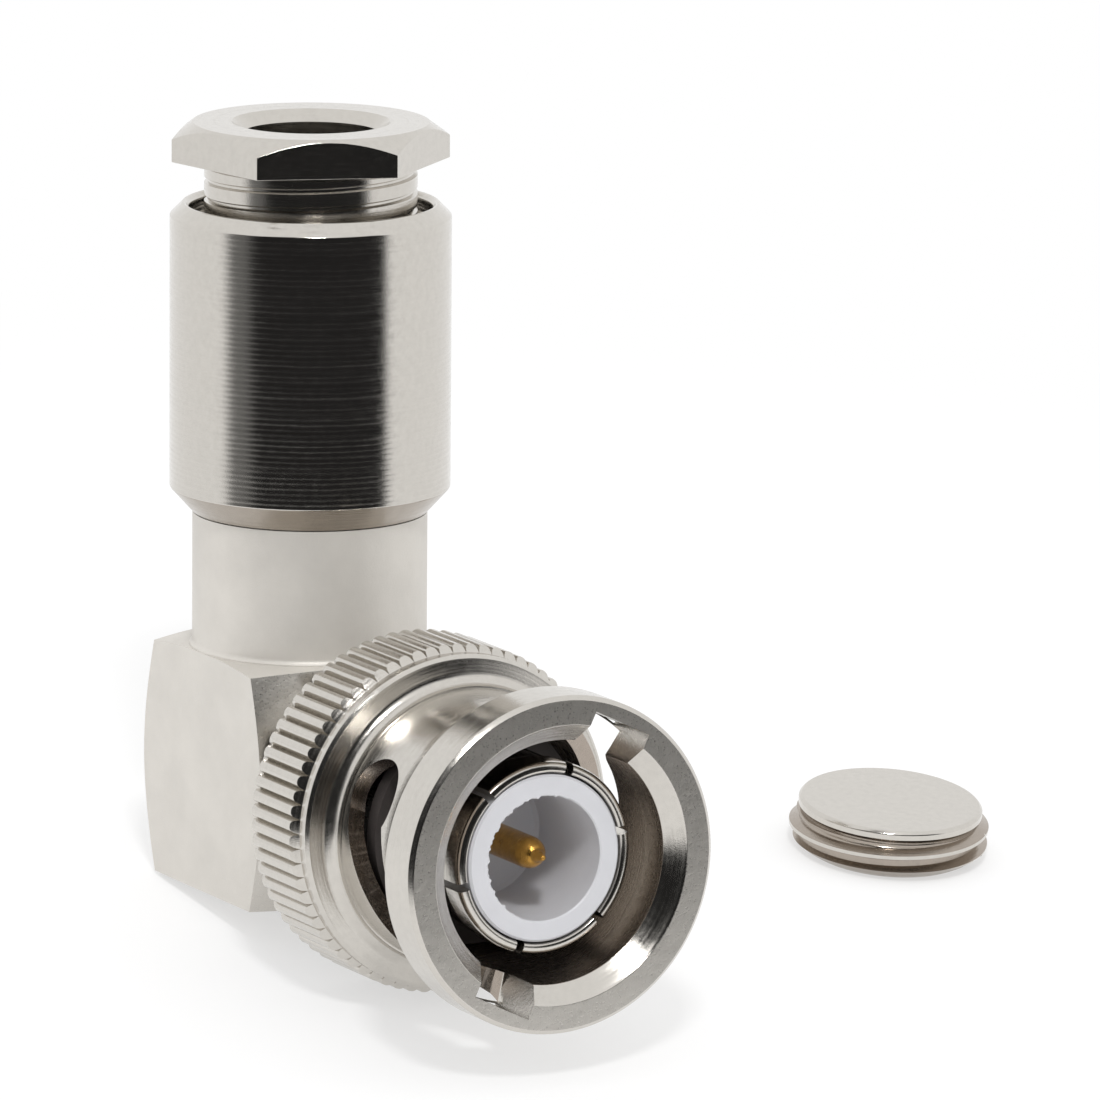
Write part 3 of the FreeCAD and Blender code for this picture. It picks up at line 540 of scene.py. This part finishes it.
class PLUG_OT_elbow(bpy.types.Operator):
    """Square elbow with turned ends, its neck and the rear port"""
    bl_idname = "plug.elbow"
    bl_label = "Elbow block"

    def execute(self, context):
        sizes = context.scene.plug_sizes
        half, end, crown = 5.2, 5.5, 5.25
        steps = sizes.turned_steps
        piece = block("elbow", (end * 2, half * 2, half + crown), (0, 0, (crown - half) / 2))
        far = half * 1.6
        slope = math.tan(math.radians(25.5))
        corner = end - (far - 5.15) * slope
        ends = turn_up("elbow_ends", [
            (-end, 0.0), (-end, 5.15), (-corner, far), (corner, far), (end, 5.15),
            (end, 0.0)], steps, closed=False)
        ends.rotation_euler = (0, math.pi / 2, 0)
        take(ends)
        bpy.ops.object.transform_apply(location=True, rotation=True, scale=True)
        carve(piece, ends, "INTERSECT")
        foot = 5.45
        fall = (far - foot) * math.tan(math.radians(10.0))
        cover = turn_up("elbow_crown", [
            (-half - 1, 0.0), (-half - 1, far), (crown - fall, far), (crown, foot),
            (crown, 0.0)], steps, closed=False)
        carve(piece, cover, "INTERSECT")
        neck = turn_up("elbow_neck", [
            (0.0, 0.0), (0.0, 4.75), (crown - 0.5, 4.75), (crown - 0.5, 5.17),
            (crown + 0.05, 5.17)]
            + bend((crown + 0.05, 5.17), (crown + 0.3, 5.05), crown + 0.3, 4)
            + [(NECK_TOP, 5.05), (NECK_TOP, 4.62), (13.95, 4.62), (13.95, 0.0)],
            steps, closed=False)
        carve(piece, neck, "UNION")
        ease(piece, sizes.edge_round, 2)
        arm_bore = turn_up("arm_bore", [
            (0.0, 0.0), (0.0, 3.0), (9.0, 3.0), (9.0, 3.85), (15.0, 3.85), (15.0, 0.0)],
            steps, closed=False)
        carve(piece, arm_bore)
        plug_bore = turn_up("plug_bore", [
            (-end - 1, 0.0), (-end - 1, 5.4), (-end + 0.3, 4.1), (-end + 2.6, 4.1),
            (-end + 2.6, 3.2), (2.47, 3.2), (2.47, 3.92), (end + 1, 3.92), (end + 1, 0.0)],
            steps, closed=False)
        plug_bore.rotation_euler = (0, math.pi / 2, 0)
        take(plug_bore)
        bpy.ops.object.transform_apply(location=True, rotation=True, scale=True)
        carve(piece, plug_bore)
        port = thread_rod("port_thread", 4.42, 4.02, sizes.thread_pitch, 2.9, end + 0.6,
                          0.1, 0.25)
        port.rotation_euler = (0, -math.pi / 2, 0)
        take(port)
        bpy.ops.object.transform_apply(location=True, rotation=True, scale=True)
        carve(piece, port)
        hand_over(piece, SEAT_ARM, "elbow", finish_of("elbow_nickel"),
                  ["elbow_block"])
        patch(piece, SEAT_PLUG, "face_nickel",
              lambda height, radius, out, up: height > 4.4 and up > 0.3 and out > 0.3
              and height + radius * slope > end + 5.15 * slope - 0.05)
        return {"FINISHED"}


class PLUG_OT_barrel(bpy.types.Operator):
    """Long turned barrel that holds the cable clamp"""
    bl_idname = "plug.barrel"
    bl_label = "Clamp barrel"

    def execute(self, context):
        sizes = context.scene.plug_sizes
        piece = turn_up("barrel", [
            (BARREL_LOW, 4.64), (BARREL_LOW, 5.06), (12.18, 6.03), (16.0, 6.03),
            (20.0, 6.03), (23.92, 6.03), (BARREL_TOP, 5.48), (BARREL_TOP, 5.38),
            (24.3, 5.2), (23.4, 5.1), (23.2, 4.64), (15.48, 4.64), (15.48, 4.25),
            (13.98, 4.25), (13.98, 4.64)], sizes.turned_steps)
        ease(piece, sizes.edge_round, 2)
        hand_over(piece, SEAT_ARM, "elbow", finish_of("barrel_nickel"),
                  ["clamp_barrel"])
        # Painted shade: the downward-facing faces of the barrel's foot bevel take the darker
        # copy of the nickel
        patch(piece, SEAT_ARM, "foot_painted_shade",
              lambda height, radius, out, up: height < 12.2 and radius > 5.0 and up < -0.4)
        return {"FINISHED"}


class PLUG_OT_gland_nut(bpy.types.Operator):
    """Hexagonal nut with its threaded shank and cable hole"""
    bl_idname = "plug.gland_nut"
    bl_label = "Gland nut"

    def execute(self, context):
        sizes = context.scene.plug_sizes
        steps = sizes.turned_steps
        rest_hands()
        corner = 10.39 / math.sqrt(3)
        bpy.ops.mesh.primitive_cylinder_add(
            vertices=6, radius=corner, depth=HEX_TOP - HEX_LOW,
            location=(0, 0, (HEX_TOP + HEX_LOW) / 2))
        piece = bpy.context.object
        piece.name = "gland_nut_turned"
        piece.rotation_euler = (0, 0, math.radians(10.0 - 30.0))
        bpy.ops.object.transform_apply(location=True, rotation=True, scale=True)
        flat_r = 5.05
        fall = 0.7 / (corner - flat_r)
        cover = turn_up("hex_crown", [
            (HEX_LOW - 1, 0.0), (HEX_LOW - 1, corner + 0.5),
            (HEX_TOP - fall * (corner + 0.5 - flat_r), corner + 0.5),
            (HEX_TOP, flat_r), (HEX_TOP, 0.0)], steps, closed=False)
        carve(piece, cover, "INTERSECT")
        ease(piece, sizes.edge_round * 0.6, 2)
        crest = 4.56
        shank = thread_rod("gland_thread", crest, crest - sizes.gland_groove,
                           sizes.thread_pitch, SHANK_LOW, HEX_LOW - 0.22,
                           sizes.thread_pitch * 0.68, 0.08, 0.3)
        relief = turn_up("gland_relief", [
            (HEX_LOW - 0.6, 0.0), (HEX_LOW - 0.6, 4.3), (HEX_LOW + 0.3, 4.3),
            (HEX_LOW + 0.3, 0.0)], steps, closed=False)
        carve(piece, shank, "UNION")
        carve(piece, relief, "UNION")
        bore = turn_up("gland_bore", [
            (SHANK_LOW - 1, 0.0), (SHANK_LOW - 1, 4.4), (SHANK_LOW + 0.5, 2.9),
            (HEX_TOP - 0.5, 2.9), (HEX_TOP + 1, 4.4), (HEX_TOP + 1, 0.0)], steps,
            closed=False)
        carve(piece, bore)
        hand_over(piece, SEAT_ARM, "gland_nut", finish_of("gland_nickel"),
                  ["gland_nut"])
        return {"FINISHED"}


class PLUG_OT_outer_contact(bpy.types.Operator):
    """Collar, nose and six slit spring fingers, turned as one piece"""
    bl_idname = "plug.outer_contact"
    bl_label = "Outer contact"

    def execute(self, context):
        sizes = context.scene.plug_sizes
        front = FINGER_FRONT
        piece = turn_up("spring_contact", [
            (2.5, 2.9), (2.5, 3.9), (5.52, 3.9), (5.52, 5.4), (10.2, 5.4), (10.2, 4.3),
            (13.25, 4.3), (13.25, 3.95), (13.8, 3.95), (13.8, 4.3), (14.4, 4.3),
            (14.4, 3.95), (front - 2.2, 3.95), (front - 1.7, 4.02), (front - 1.32, 4.1),
            (front - 0.24, 4.1), (front - 0.1, 4.04), (front - 0.02, 3.94), (front, 3.84),
            (front, 3.72), (front - 0.06, 3.64), (front - 0.3, 3.6),
            (14.0, 3.6), (14.0, 2.9)], sizes.turned_steps)
        ease(piece, sizes.edge_round * 0.6, 2)
        for index in range(3):
            slit = block("slit", (9.4, 0.36, 6.5), (0, 0, 15.6 + 3.25),
                         math.radians(12.65 + 60 * index))
            carve(piece, slit)
        hand_over(piece, SEAT_PLUG, "elbow", finish_of("contact_nickel"),
                  ["outer_contact"])
        return {"FINISHED"}


class PLUG_OT_insulator(bpy.types.Operator):
    """White insulator with a hollow front whose edge the cutter left ragged"""
    bl_idname = "plug.insulator"
    bl_label = "Plug insulator"

    def execute(self, context):
        front = FINGER_FRONT - 0.02
        piece = turn_up("front_insulator", [
            (14.03, 0.95), (14.03, 3.55), (front - 0.1, 3.55), (front, 3.45),
            (front, 3.2), (front, 2.72), (front - 0.06, 2.66), (front - 0.4, 2.66),
            (18.0, 2.66), (15.75, 2.66), (15.6, 2.51), (15.6, 0.95)], 288)
        mesh = edit(piece)
        for vert in mesh.verts:
            radius = math.hypot(vert.co.x, vert.co.y)
            if vert.co.z < front - 0.1 or not 2.6 < radius < 2.8:
                continue
            angle = math.atan2(vert.co.y, vert.co.x)
            side = max(0.0, math.cos(angle - math.radians(155.0))) ** 0.5
            burr = (math.sin(angle * 23.0) + math.sin(angle * 37.0 + 1.3)
                    + 0.8 * math.sin(angle * 61.0 + 0.4))
            pull = 1.0 - 0.024 * side * max(0.0, burr) - 0.004 * side
            vert.co.x *= pull
            vert.co.y *= pull
        bmesh.update_edit_mesh(piece.data)
        rest_hands()
        hand_over(piece, SEAT_PLUG, "elbow", finish_of("plug_insulator"),
                  ["plug_insulator"], 35.0)
        return {"FINISHED"}


class PLUG_OT_centre_contact(bpy.types.Operator):
    """Gold-plated pin with a domed end and a small point"""
    bl_idname = "plug.centre_contact"
    bl_label = "Centre contact"

    def execute(self, context):
        dome = [(19.6, 0.685), (19.8, 0.665), (20.0, 0.61), (20.16, 0.53), (20.28, 0.44),
                (20.36, 0.36), (20.4, 0.3), (20.5, 0.27), (20.9, 0.14), (20.97, 0.08),
                (21.0, 0.0)]
        piece = turn_up("gold_pin", [
            (-1.3, 0.0), (-1.3, 0.9), (-1.2, 1.0), (13.2, 1.0), (13.2, 1.35), (13.9, 1.35),
            (13.9, 0.9), (15.6, 0.9), (15.6, 0.685)] + dome, 96, closed=False)
        slot = block("solder_slot", (0.95, 4.0, 3.2), (0, 0, -0.7))
        carve(piece, slot)
        hand_over(piece, SEAT_PLUG, "elbow", finish_of("gold"),
                  ["centre_contact"], 40.0)
        return {"FINISHED"}


class PLUG_OT_coupling_ring(bpy.types.Operator):
    """Knurled bayonet ring with its cam slots and entry notches"""
    bl_idname = "plug.coupling_ring"
    bl_label = "Coupling ring"

    def execute(self, context):
        sizes = context.scene.plug_sizes
        root = KNURL_TIP - sizes.knurl_depth
        hollow = bend((13.55, 6.47), (14.14, 5.98), 14.14, 8)
        flare = bend((17.6, 5.92), (20.4, 7.17), 17.6, 16)
        piece = turn_up("bayonet_ring", [
            (RING_REAR, 6.45), (RING_REAR, KNURL_TIP - 0.1), (RING_REAR + 0.1, KNURL_TIP),
            (KNURL_END - sizes.knurl_depth, KNURL_TIP), (KNURL_END, root),
            (KNURL_END, root + 0.03), (13.3, root + 0.03), (13.45, root - 0.12),
            (13.55, 6.47)] + hollow + [(14.15, 5.92), (17.6, 5.92)] + flare + [
            (22.39, 7.17), (RING_FRONT, 6.99), (RING_FRONT, 5.95), (21.85, 5.18),
            (11.8, 5.18), (11.8, 4.4), (10.8, 4.4), (10.8, 6.15), (9.3, 6.15)], 720)
        self.press_knurl(piece, sizes.knurl_depth)
        take(piece)
        piece.rotation_euler = (0, 0, math.radians(0.3))
        bpy.ops.object.transform_apply(location=True, rotation=True, scale=True)
        self.break_edges(piece, sizes.edge_round * 0.6, root)
        carve(piece, self.cams())
        for side in (0.0, 180.0):
            carve(piece, self.detent(158.0 + side))
        carve(piece, block("notch", (2.8, 12.84, 4.0), (0, 0, 21.6),
                           math.radians(64.0 - 90.0)))
        hand_over(piece, SEAT_PLUG, "coupling_ring", finish_of("ring_nickel"),
                  ["coupling_ring"], 26.0)
        patch(piece, SEAT_PLUG, "face_nickel",
              lambda height, radius, out, up: height > RING_FRONT - 0.01)
        # Painted shade: the bore and the walls of the cam slots take the darker copy of the
        # nickel
        patch(piece, SEAT_PLUG, "inner_painted_shade",
              lambda height, radius, out, up: radius < 5.3 and height > 11.0
              or abs(out) < 0.4 and radius < 6.4 and 14.2 < height < 19.5)
        return {"FINISHED"}

    def press_knurl(self, piece, depth):
        """Presses narrow grooves every five degrees, which leaves rounded teeth."""
        face = KNURL_END - depth
        for away, share in enumerate((1.0, 0.4, 0.14, 0.04)):
            for height, radius in ((RING_REAR, KNURL_TIP - 0.1), (RING_REAR + 0.1, KNURL_TIP),
                                   (face, KNURL_TIP)):
                pressed = min(radius, KNURL_TIP - depth * share)
                mesh = edit(piece)
                for vert in mesh.verts:
                    place = round(math.degrees(math.atan2(vert.co.y, vert.co.x)) * 2) - 8
                    vert.select = (min(place % 10, -place % 10) == away
                                   and abs(vert.co.z - height) < 0.01
                                   and math.hypot(vert.co.x, vert.co.y) > KNURL_TIP - 0.2)
                mesh.select_flush_mode()
                bmesh.update_edit_mesh(piece.data)
                factor = pressed / radius
                bpy.ops.transform.resize(value=(factor, factor, 1.0),
                                         center_override=(0, 0, 0))
                if height == face:
                    bpy.ops.transform.translate(value=(0, 0, depth * share * 0.96))
        rest_hands()

    def break_edges(self, piece, width, root):
        """Bevels the sharp turned edges of the band, the lip and the mouth."""
        mesh = edit(piece)
        corners = ((22.39, 7.17), (RING_FRONT, 6.99), (RING_FRONT, 5.95), (21.85, 5.18),
                   (13.3, root + 0.03), (RING_REAR, 6.45))
        for vert in mesh.verts:
            radius = math.hypot(vert.co.x, vert.co.y)
            vert.select = any(abs(vert.co.z - height) < 0.005 and abs(radius - away) < 0.005
                              for height, away in corners)
        mesh.select_mode = {"VERT"}
        mesh.select_flush_mode()
        bmesh.update_edit_mesh(piece.data)
        bpy.ops.mesh.select_mode(type="EDGE")
        bpy.ops.mesh.bevel(offset=width, offset_type="OFFSET", segments=2, affect="EDGES",
                           clamp_overlap=True)
        rest_hands()

    def detent(self, turn):
        """Cutter of the round seat at the end of a slot."""
        rest_hands()
        bpy.ops.mesh.primitive_cylinder_add(vertices=96, radius=1.7, depth=2.0)
        cutter = bpy.context.object
        cutter.name = "detent_cutter"
        cutter.rotation_euler = (0, math.pi / 2, 0)
        cutter.location = (5.5, 0, 16.15)
        bpy.ops.object.transform_apply(location=True, rotation=True, scale=True)
        cutter.rotation_euler = (0, 0, math.radians(turn))
        bpy.ops.object.transform_apply(location=True, rotation=True, scale=True)
        return cutter

    def cams(self):
        """Two slots that wind back from the notches to the stop, as one cutter."""
        marks = [(16.15, 158.0), (16.05, 168.0), (16.5, 183.0), (17.0, 198.0), (17.5, 214.0),
                 (18.2, 230.0), (19.6, 244.0)]
        middle, half = 5.7, 1.4
        flat = [Vector((math.radians(turn) * middle, height)) for height, turn in marks]
        line = [flat[0] * 2 - flat[1]] + flat + [flat[-1] * 2 - flat[-2]]
        route = []
        for before, first, second, after in zip(line, line[1:], line[2:], line[3:]):
            for step in range(10):
                t = step / 10
                route.append(((first * 2) + (second - before) * t
                              + (before * 2 - first * 5 + second * 4 - after) * t * t
                              + (first * 3 - before - second * 3 + after) * t ** 3) / 2)
        route.append(flat[-1])
        ribs = []
        for index, place in enumerate(route):
            way = (route[min(index + 1, len(route) - 1)] - route[max(index - 1, 0)])
            ribs.append((place, way.normalized(), half))
        bow = [math.radians(angle) for angle in (20, 40, 55, 68, 78, 86)]
        place, way, wide = ribs[0]
        ribs = [(place - way * wide * math.sin(a), way, wide * math.cos(a))
                for a in reversed(bow)] + ribs
        place, way, wide = ribs[-1]
        ribs += [(place + way * wide * math.sin(a), way, wide * math.cos(a)) for a in bow]
        cutters = []
        across = 8
        for side in (0.0, math.pi):
            rest_hands()
            bpy.ops.mesh.primitive_grid_add(
                x_subdivisions=across, y_subdivisions=len(ribs) - 1, size=2.0)
            cutter = bpy.context.object
            cutter.name = "cam_cutter"
            mesh = edit(cutter)
            mesh.verts.ensure_lookup_table()
            for row, (place, way, wide) in enumerate(ribs):
                for column in range(across + 1):
                    vert = mesh.verts[row * (across + 1) + column]
                    spot = place + Vector((-way.y, way.x)) * wide * (1 - 2 * column / across)
                    angle = spot.x / middle + side
                    vert.co = (4.5 * math.cos(angle), 4.5 * math.sin(angle), spot.y)
            bmesh.update_edit_mesh(cutter.data)
            bpy.ops.mesh.select_all(action="SELECT")
            bpy.ops.mesh.extrude_region_move(TRANSFORM_OT_translate={"value": (0, 0, 0)})
            bpy.ops.transform.resize(value=(6.42 / 4.5, 6.42 / 4.5, 1.0),
                                     center_override=(0, 0, 0))
            bpy.ops.mesh.select_all(action="SELECT")
            bpy.ops.mesh.quads_convert_to_tris()
            bpy.ops.mesh.normals_make_consistent(inside=False)
            rest_hands()
            cutters.append(cutter)
        return carve(cutters[0], cutters[1], "UNION", crossing=True)


class PLUG_OT_wave_washer(bpy.types.Operator):
    """Spring washer, built bent; the real one flattens as the coupling ring is pushed forward"""
    bl_idname = "plug.wave_washer"
    bl_label = "Wave washer"

    def execute(self, context):
        front, thick, bore, outside, bow = 12.79, 0.25, 4.4, 5.02, 21.0
        piece = turn_up("wave_washer", [
            (front - thick, bore), (front - thick, outside), (front, outside),
            (front, bore)], 144)
        mesh = edit(piece)
        for vert in mesh.verts:
            radius = bow + thick if vert.co.z > front - thick / 2 else bow
            vert.co.z -= radius - math.sqrt(radius ** 2 - vert.co.x ** 2)
        bmesh.update_edit_mesh(piece.data)
        hand_over(piece, SEAT_PLUG, "elbow", finish_of("spring_steel"),
                  ["spring_washer"])
        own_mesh(piece)
        return {"FINISHED"}


class PLUG_OT_rear_cap(bpy.types.Operator):
    """Threaded cap of the rear port, lying on the floor"""
    bl_idname = "plug.rear_cap"
    bl_label = "Rear cap"

    def execute(self, context):
        sizes = context.scene.plug_sizes
        steps = sizes.turned_steps
        piece = turn_up("cap_turned", [
            (0.0, 0.0), (0.0, 3.62), (0.24, 4.0), (1.48, 4.0), (1.56, 3.93), (1.66, 3.89),
            (1.76, 3.9), (1.84, 3.97), (1.89, 4.08), (2.16, 4.08), (2.3, 3.94),
            (2.3, 0.0)], steps, closed=False)
        ease(piece, sizes.edge_round * 0.6, 2)
        thread = thread_rod("cap_thread", 4.42, 3.96, sizes.thread_pitch, 0.2, 1.72,
                            0.16, 0.2, 0.35)
        limit = turn_up("cap_limit", [
            (0.12, 0.0), (0.12, 3.85), (0.62, 4.5), (1.4, 4.5), (1.64, 4.0), (1.64, 0.0)],
            steps, closed=False)
        carve(thread, limit, "INTERSECT")
        carve(piece, thread, "UNION")
        slot = block("driver_slot", (11.0, 0.9, 1.2), (0, 0, 0.0))
        carve(piece, slot)
        hand_over(piece, SEAT_CAP, "elbow", finish_of("cap_nickel"), ["rear_cap"])
        # Painted shade: the cap's faces inside the thread crests, its flanks and valleys, take
        # the darker copy of the nickel
        patch(piece, SEAT_CAP, "valley_painted_shade",
              lambda height, radius, out, up: 0.01 < height < 1.88 and radius < 4.36)
        return {"FINISHED"}


class PLUG_OT_inner_parts(bpy.types.Operator):
    """Finishes of the gaskets, washers and insulators that keep their shape"""
    bl_idname = "plug.inner_parts"
    bl_label = "Inner parts"

    def execute(self, context):
        for node, finish in (
                ("elbow_insulator", "plug_insulator"), ("cable_insulator", "arm_insulator"),
                ("interface_gasket", "plug_gasket"), ("cable_gasket", "arm_gasket"),
                ("braid_clamp", "gland_nickel"), ("gland_washer", "gland_nickel"),
                ("thrust_washer", "spring_steel"), ("backing_washer", "spring_steel"),
                ("retaining_ring", "spring_steel")):
            dress(node, finish)
        return {"FINISHED"}


# Floor, light and camera

CAMERA_RIGHT = (0.483332727543914, 0.8754052993233924, 0.007418652268616147)
CAMERA_UP = (-0.176109371976527, 0.08892632894663154, 0.9803456518606632)
CAMERA_BACK = (0.8575400652954903, -0.4751396320415688, 0.19714808260900898)
CAMERA_PLACE = (414.38475371, -217.79776021, 103.48443586)
CAMERA_LENS = 11110.0 / 1100.0 * 36.0


class Backdrop:
    """Lays out the nodes of the floor and of the tent."""

    def __init__(self, tree, place):
        self.tree = tree
        path = self.node("ShaderNodeLightPath")
        self.camera = path.outputs["Is Camera Ray"]
        self.seen = self.sum("MAXIMUM", self.camera, self.sum(
            "MAXIMUM", path.outputs["Is Glossy Ray"], path.outputs["Is Transmission Ray"]))
        self.soft = path.outputs["Is Diffuse Ray"]
        split = self.node("ShaderNodeSeparateXYZ")
        self.link(self.node("ShaderNodeTexCoord").outputs[place], split.inputs[0])
        self.x, self.y, self.z = split.outputs
        self.bearing = self.sum("ARCTAN2", self.y, self.x)

    def node(self, kind):
        return self.tree.nodes.new(kind)

    def link(self, source, target):
        self.tree.links.new(source, target)

    def sum(self, operation, first, second=0.0):
        node = self.node("ShaderNodeMath")
        node.operation = operation
        for socket, value in zip(node.inputs, (first, second)):
            if isinstance(value, (int, float)):
                socket.default_value = value
            else:
                self.link(value, socket)
        return node.outputs[0]

    def step(self, value, low, high, out_low=0.0, out_high=1.0):
        node = self.node("ShaderNodeMapRange")
        node.interpolation_type = "SMOOTHSTEP"
        for socket, number in zip(("From Min", "From Max", "To Min", "To Max"),
                                  (low, high, out_low, out_high)):
            node.inputs[socket].default_value = number
        self.link(value, node.inputs["Value"])
        return node.outputs["Result"]

    def opening(self):
        """One inside the bearings of the tent's dim opening, behind the camera."""
        left = self.sum(
            "ADD", self.step(self.bearing, math.radians(-108.0), math.radians(-92.0), 0.0, 0.75),
            self.step(self.bearing, math.radians(-84.0), math.radians(-68.0), 0.0, 0.25))
        return self.sum("MULTIPLY", left, self.step(
            self.bearing, math.radians(43.0), math.radians(30.0)))


def white_floor():
    """White floor with a soft shadow, which ends at the tent's opening."""
    material = bpy.data.materials.new("floor_paint")
    material.use_nodes = True
    tree = material.node_tree
    bsdf = tree.nodes["Principled BSDF"]
    bsdf.inputs["Base Color"].default_value = (0.93, 0.93, 0.93, 1.0)
    bsdf.inputs["Roughness"].default_value = 0.9
    bsdf.inputs["Specular IOR Level"].default_value = 0.0
    drop = Backdrop(tree, "Object")
    glow = drop.node("ShaderNodeEmission")
    mix = drop.node("ShaderNodeMixShader")
    away = drop.sum("SQRT", drop.sum("ADD", drop.sum("POWER", drop.x, 2.0),
                                     drop.sum("POWER", drop.y, 2.0)))
    fade = drop.step(away, 0.03, 0.085, 0.55, 1.0)
    drop.link(drop.sum("MULTIPLY", fade, drop.seen), mix.inputs[0])
    dim = drop.sum("MULTIPLY", drop.opening(), drop.step(away, 0.048, 0.08))
    dim = drop.sum("MULTIPLY", dim, drop.sum("SUBTRACT", 1.0, drop.camera))
    drop.link(drop.step(dim, 0.0, 1.0, 1.0, 0.05), glow.inputs["Strength"])
    drop.link(bsdf.outputs[0], mix.inputs[1])
    drop.link(glow.outputs[0], mix.inputs[2])
    drop.link(mix.outputs[0], tree.nodes["Material Output"].inputs["Surface"])
    return material


def tent_world():
    """White all round, with the dim opening of the room behind the camera."""
    world = bpy.data.worlds.new("tent")
    bpy.context.scene.world = world
    world.use_nodes = True
    tree = world.node_tree
    tent = tree.nodes["Background"]
    tent.inputs["Color"].default_value = (1.0, 1.0, 1.0, 1.0)
    drop = Backdrop(tree, "Generated")
    rise = drop.sum("MAXIMUM", drop.z, drop.sum("MULTIPLY", drop.z, -1.6))
    reach = drop.sum(
        "SUBTRACT",
        drop.step(drop.bearing, math.radians(-88.0), math.radians(-60.0), 0.45, 0.88),
        drop.step(drop.bearing, math.radians(-40.0), math.radians(-10.0), 0.0, 0.22))
    over = drop.sum("DIVIDE", rise, reach)
    dim = drop.sum("MULTIPLY", drop.opening(), drop.step(over, 1.25, 0.9))
    dim = drop.sum("MULTIPLY", dim, drop.sum("SUBTRACT", 1.0, drop.camera))
    dim = drop.sum("MULTIPLY", dim, drop.step(drop.soft, 0.0, 1.0, 1.0, 0.3))
    drop.link(drop.step(dim, 0.0, 1.0, 1.0, 0.02), tent.inputs["Strength"])


class PLUG_OT_stage(bpy.types.Operator):
    """Pale floor, soft light and the camera"""
    bl_idname = "plug.stage"
    bl_label = "Stage"

    def execute(self, context):
        scene = context.scene
        scene.view_settings.view_transform = "Standard"
        rest_hands()
        bpy.ops.mesh.primitive_circle_add(
            vertices=96, radius=0.14, fill_type="NGON", location=(0, 0, 0))
        floor = context.object
        floor.name = "floor"
        floor.data.materials.append(white_floor())
        tent_world()
        rest_hands()
        bpy.ops.object.light_add(type="AREA", location=(0.26, -0.15, 0.42))
        key = context.object
        key.name = "key_softbox"
        key.data.size = 0.06
        key.data.energy = 0.9
        key.rotation_euler = (Vector((0, 0, 0.015)) - key.location).to_track_quat(
            "-Z", "Y").to_euler()
        rest_hands()
        bpy.ops.object.camera_add()
        camera = context.object
        camera.name = "camera"
        turn = SEAT_ARM.to_3x3() * 1000.0
        way = Matrix((turn @ Vector(CAMERA_RIGHT), turn @ Vector(CAMERA_UP),
                      turn @ Vector(CAMERA_BACK))).transposed()
        camera.matrix_world = (Matrix.Translation(SEAT_ARM @ Vector(CAMERA_PLACE))
                               @ way.to_4x4())
        camera.data.lens = CAMERA_LENS
        camera.data.sensor_width = 36.0
        camera.data.clip_start = 0.05
        camera.data.clip_end = 10.0
        scene.camera = camera
        rest_hands()
        return {"FINISHED"}


class PLUG_PT_panel(bpy.types.Panel):
    """Lists the plug's pieces, sizes and colours"""
    bl_label = "Bayonet plug"
    bl_idname = "PLUG_PT_panel"
    bl_space_type = "VIEW_3D"
    bl_region_type = "UI"
    bl_category = "Plug"

    def draw(self, context):
        layout = self.layout
        for group in (context.scene.plug_sizes, context.scene.plug_colours):
            for prop in group.bl_rna.properties:
                if prop.identifier not in ("rna_type", "name"):
                    layout.prop(group, prop.identifier)
        for operator in OPERATORS:
            layout.operator(operator.bl_idname)


OPERATORS = (
    PLUG_OT_elbow, PLUG_OT_barrel, PLUG_OT_gland_nut, PLUG_OT_outer_contact,
    PLUG_OT_insulator, PLUG_OT_centre_contact, PLUG_OT_coupling_ring,
    PLUG_OT_wave_washer, PLUG_OT_rear_cap, PLUG_OT_inner_parts, PLUG_OT_stage)
CLASSES = (PlugSizes, PlugColours) + OPERATORS + (PLUG_PT_panel,)


def register():
    for item in CLASSES:
        bpy.utils.register_class(item)
    bpy.types.Scene.plug_sizes = PointerProperty(type=PlugSizes)
    bpy.types.Scene.plug_colours = PointerProperty(type=PlugColours)


def unregister():
    del bpy.types.Scene.plug_colours
    del bpy.types.Scene.plug_sizes
    for item in reversed(CLASSES):
        bpy.utils.unregister_class(item)


def main():
    register()
    rest_hands()
    bpy.ops.plug.elbow()
    bpy.ops.plug.barrel()
    bpy.ops.plug.gland_nut()
    bpy.ops.plug.outer_contact()
    bpy.ops.plug.insulator()
    bpy.ops.plug.centre_contact()
    bpy.ops.plug.coupling_ring()
    bpy.ops.plug.wave_washer()
    bpy.ops.plug.rear_cap()
    bpy.ops.plug.inner_parts()
    bpy.ops.plug.stage()


if __name__ == "__main__":
    main()
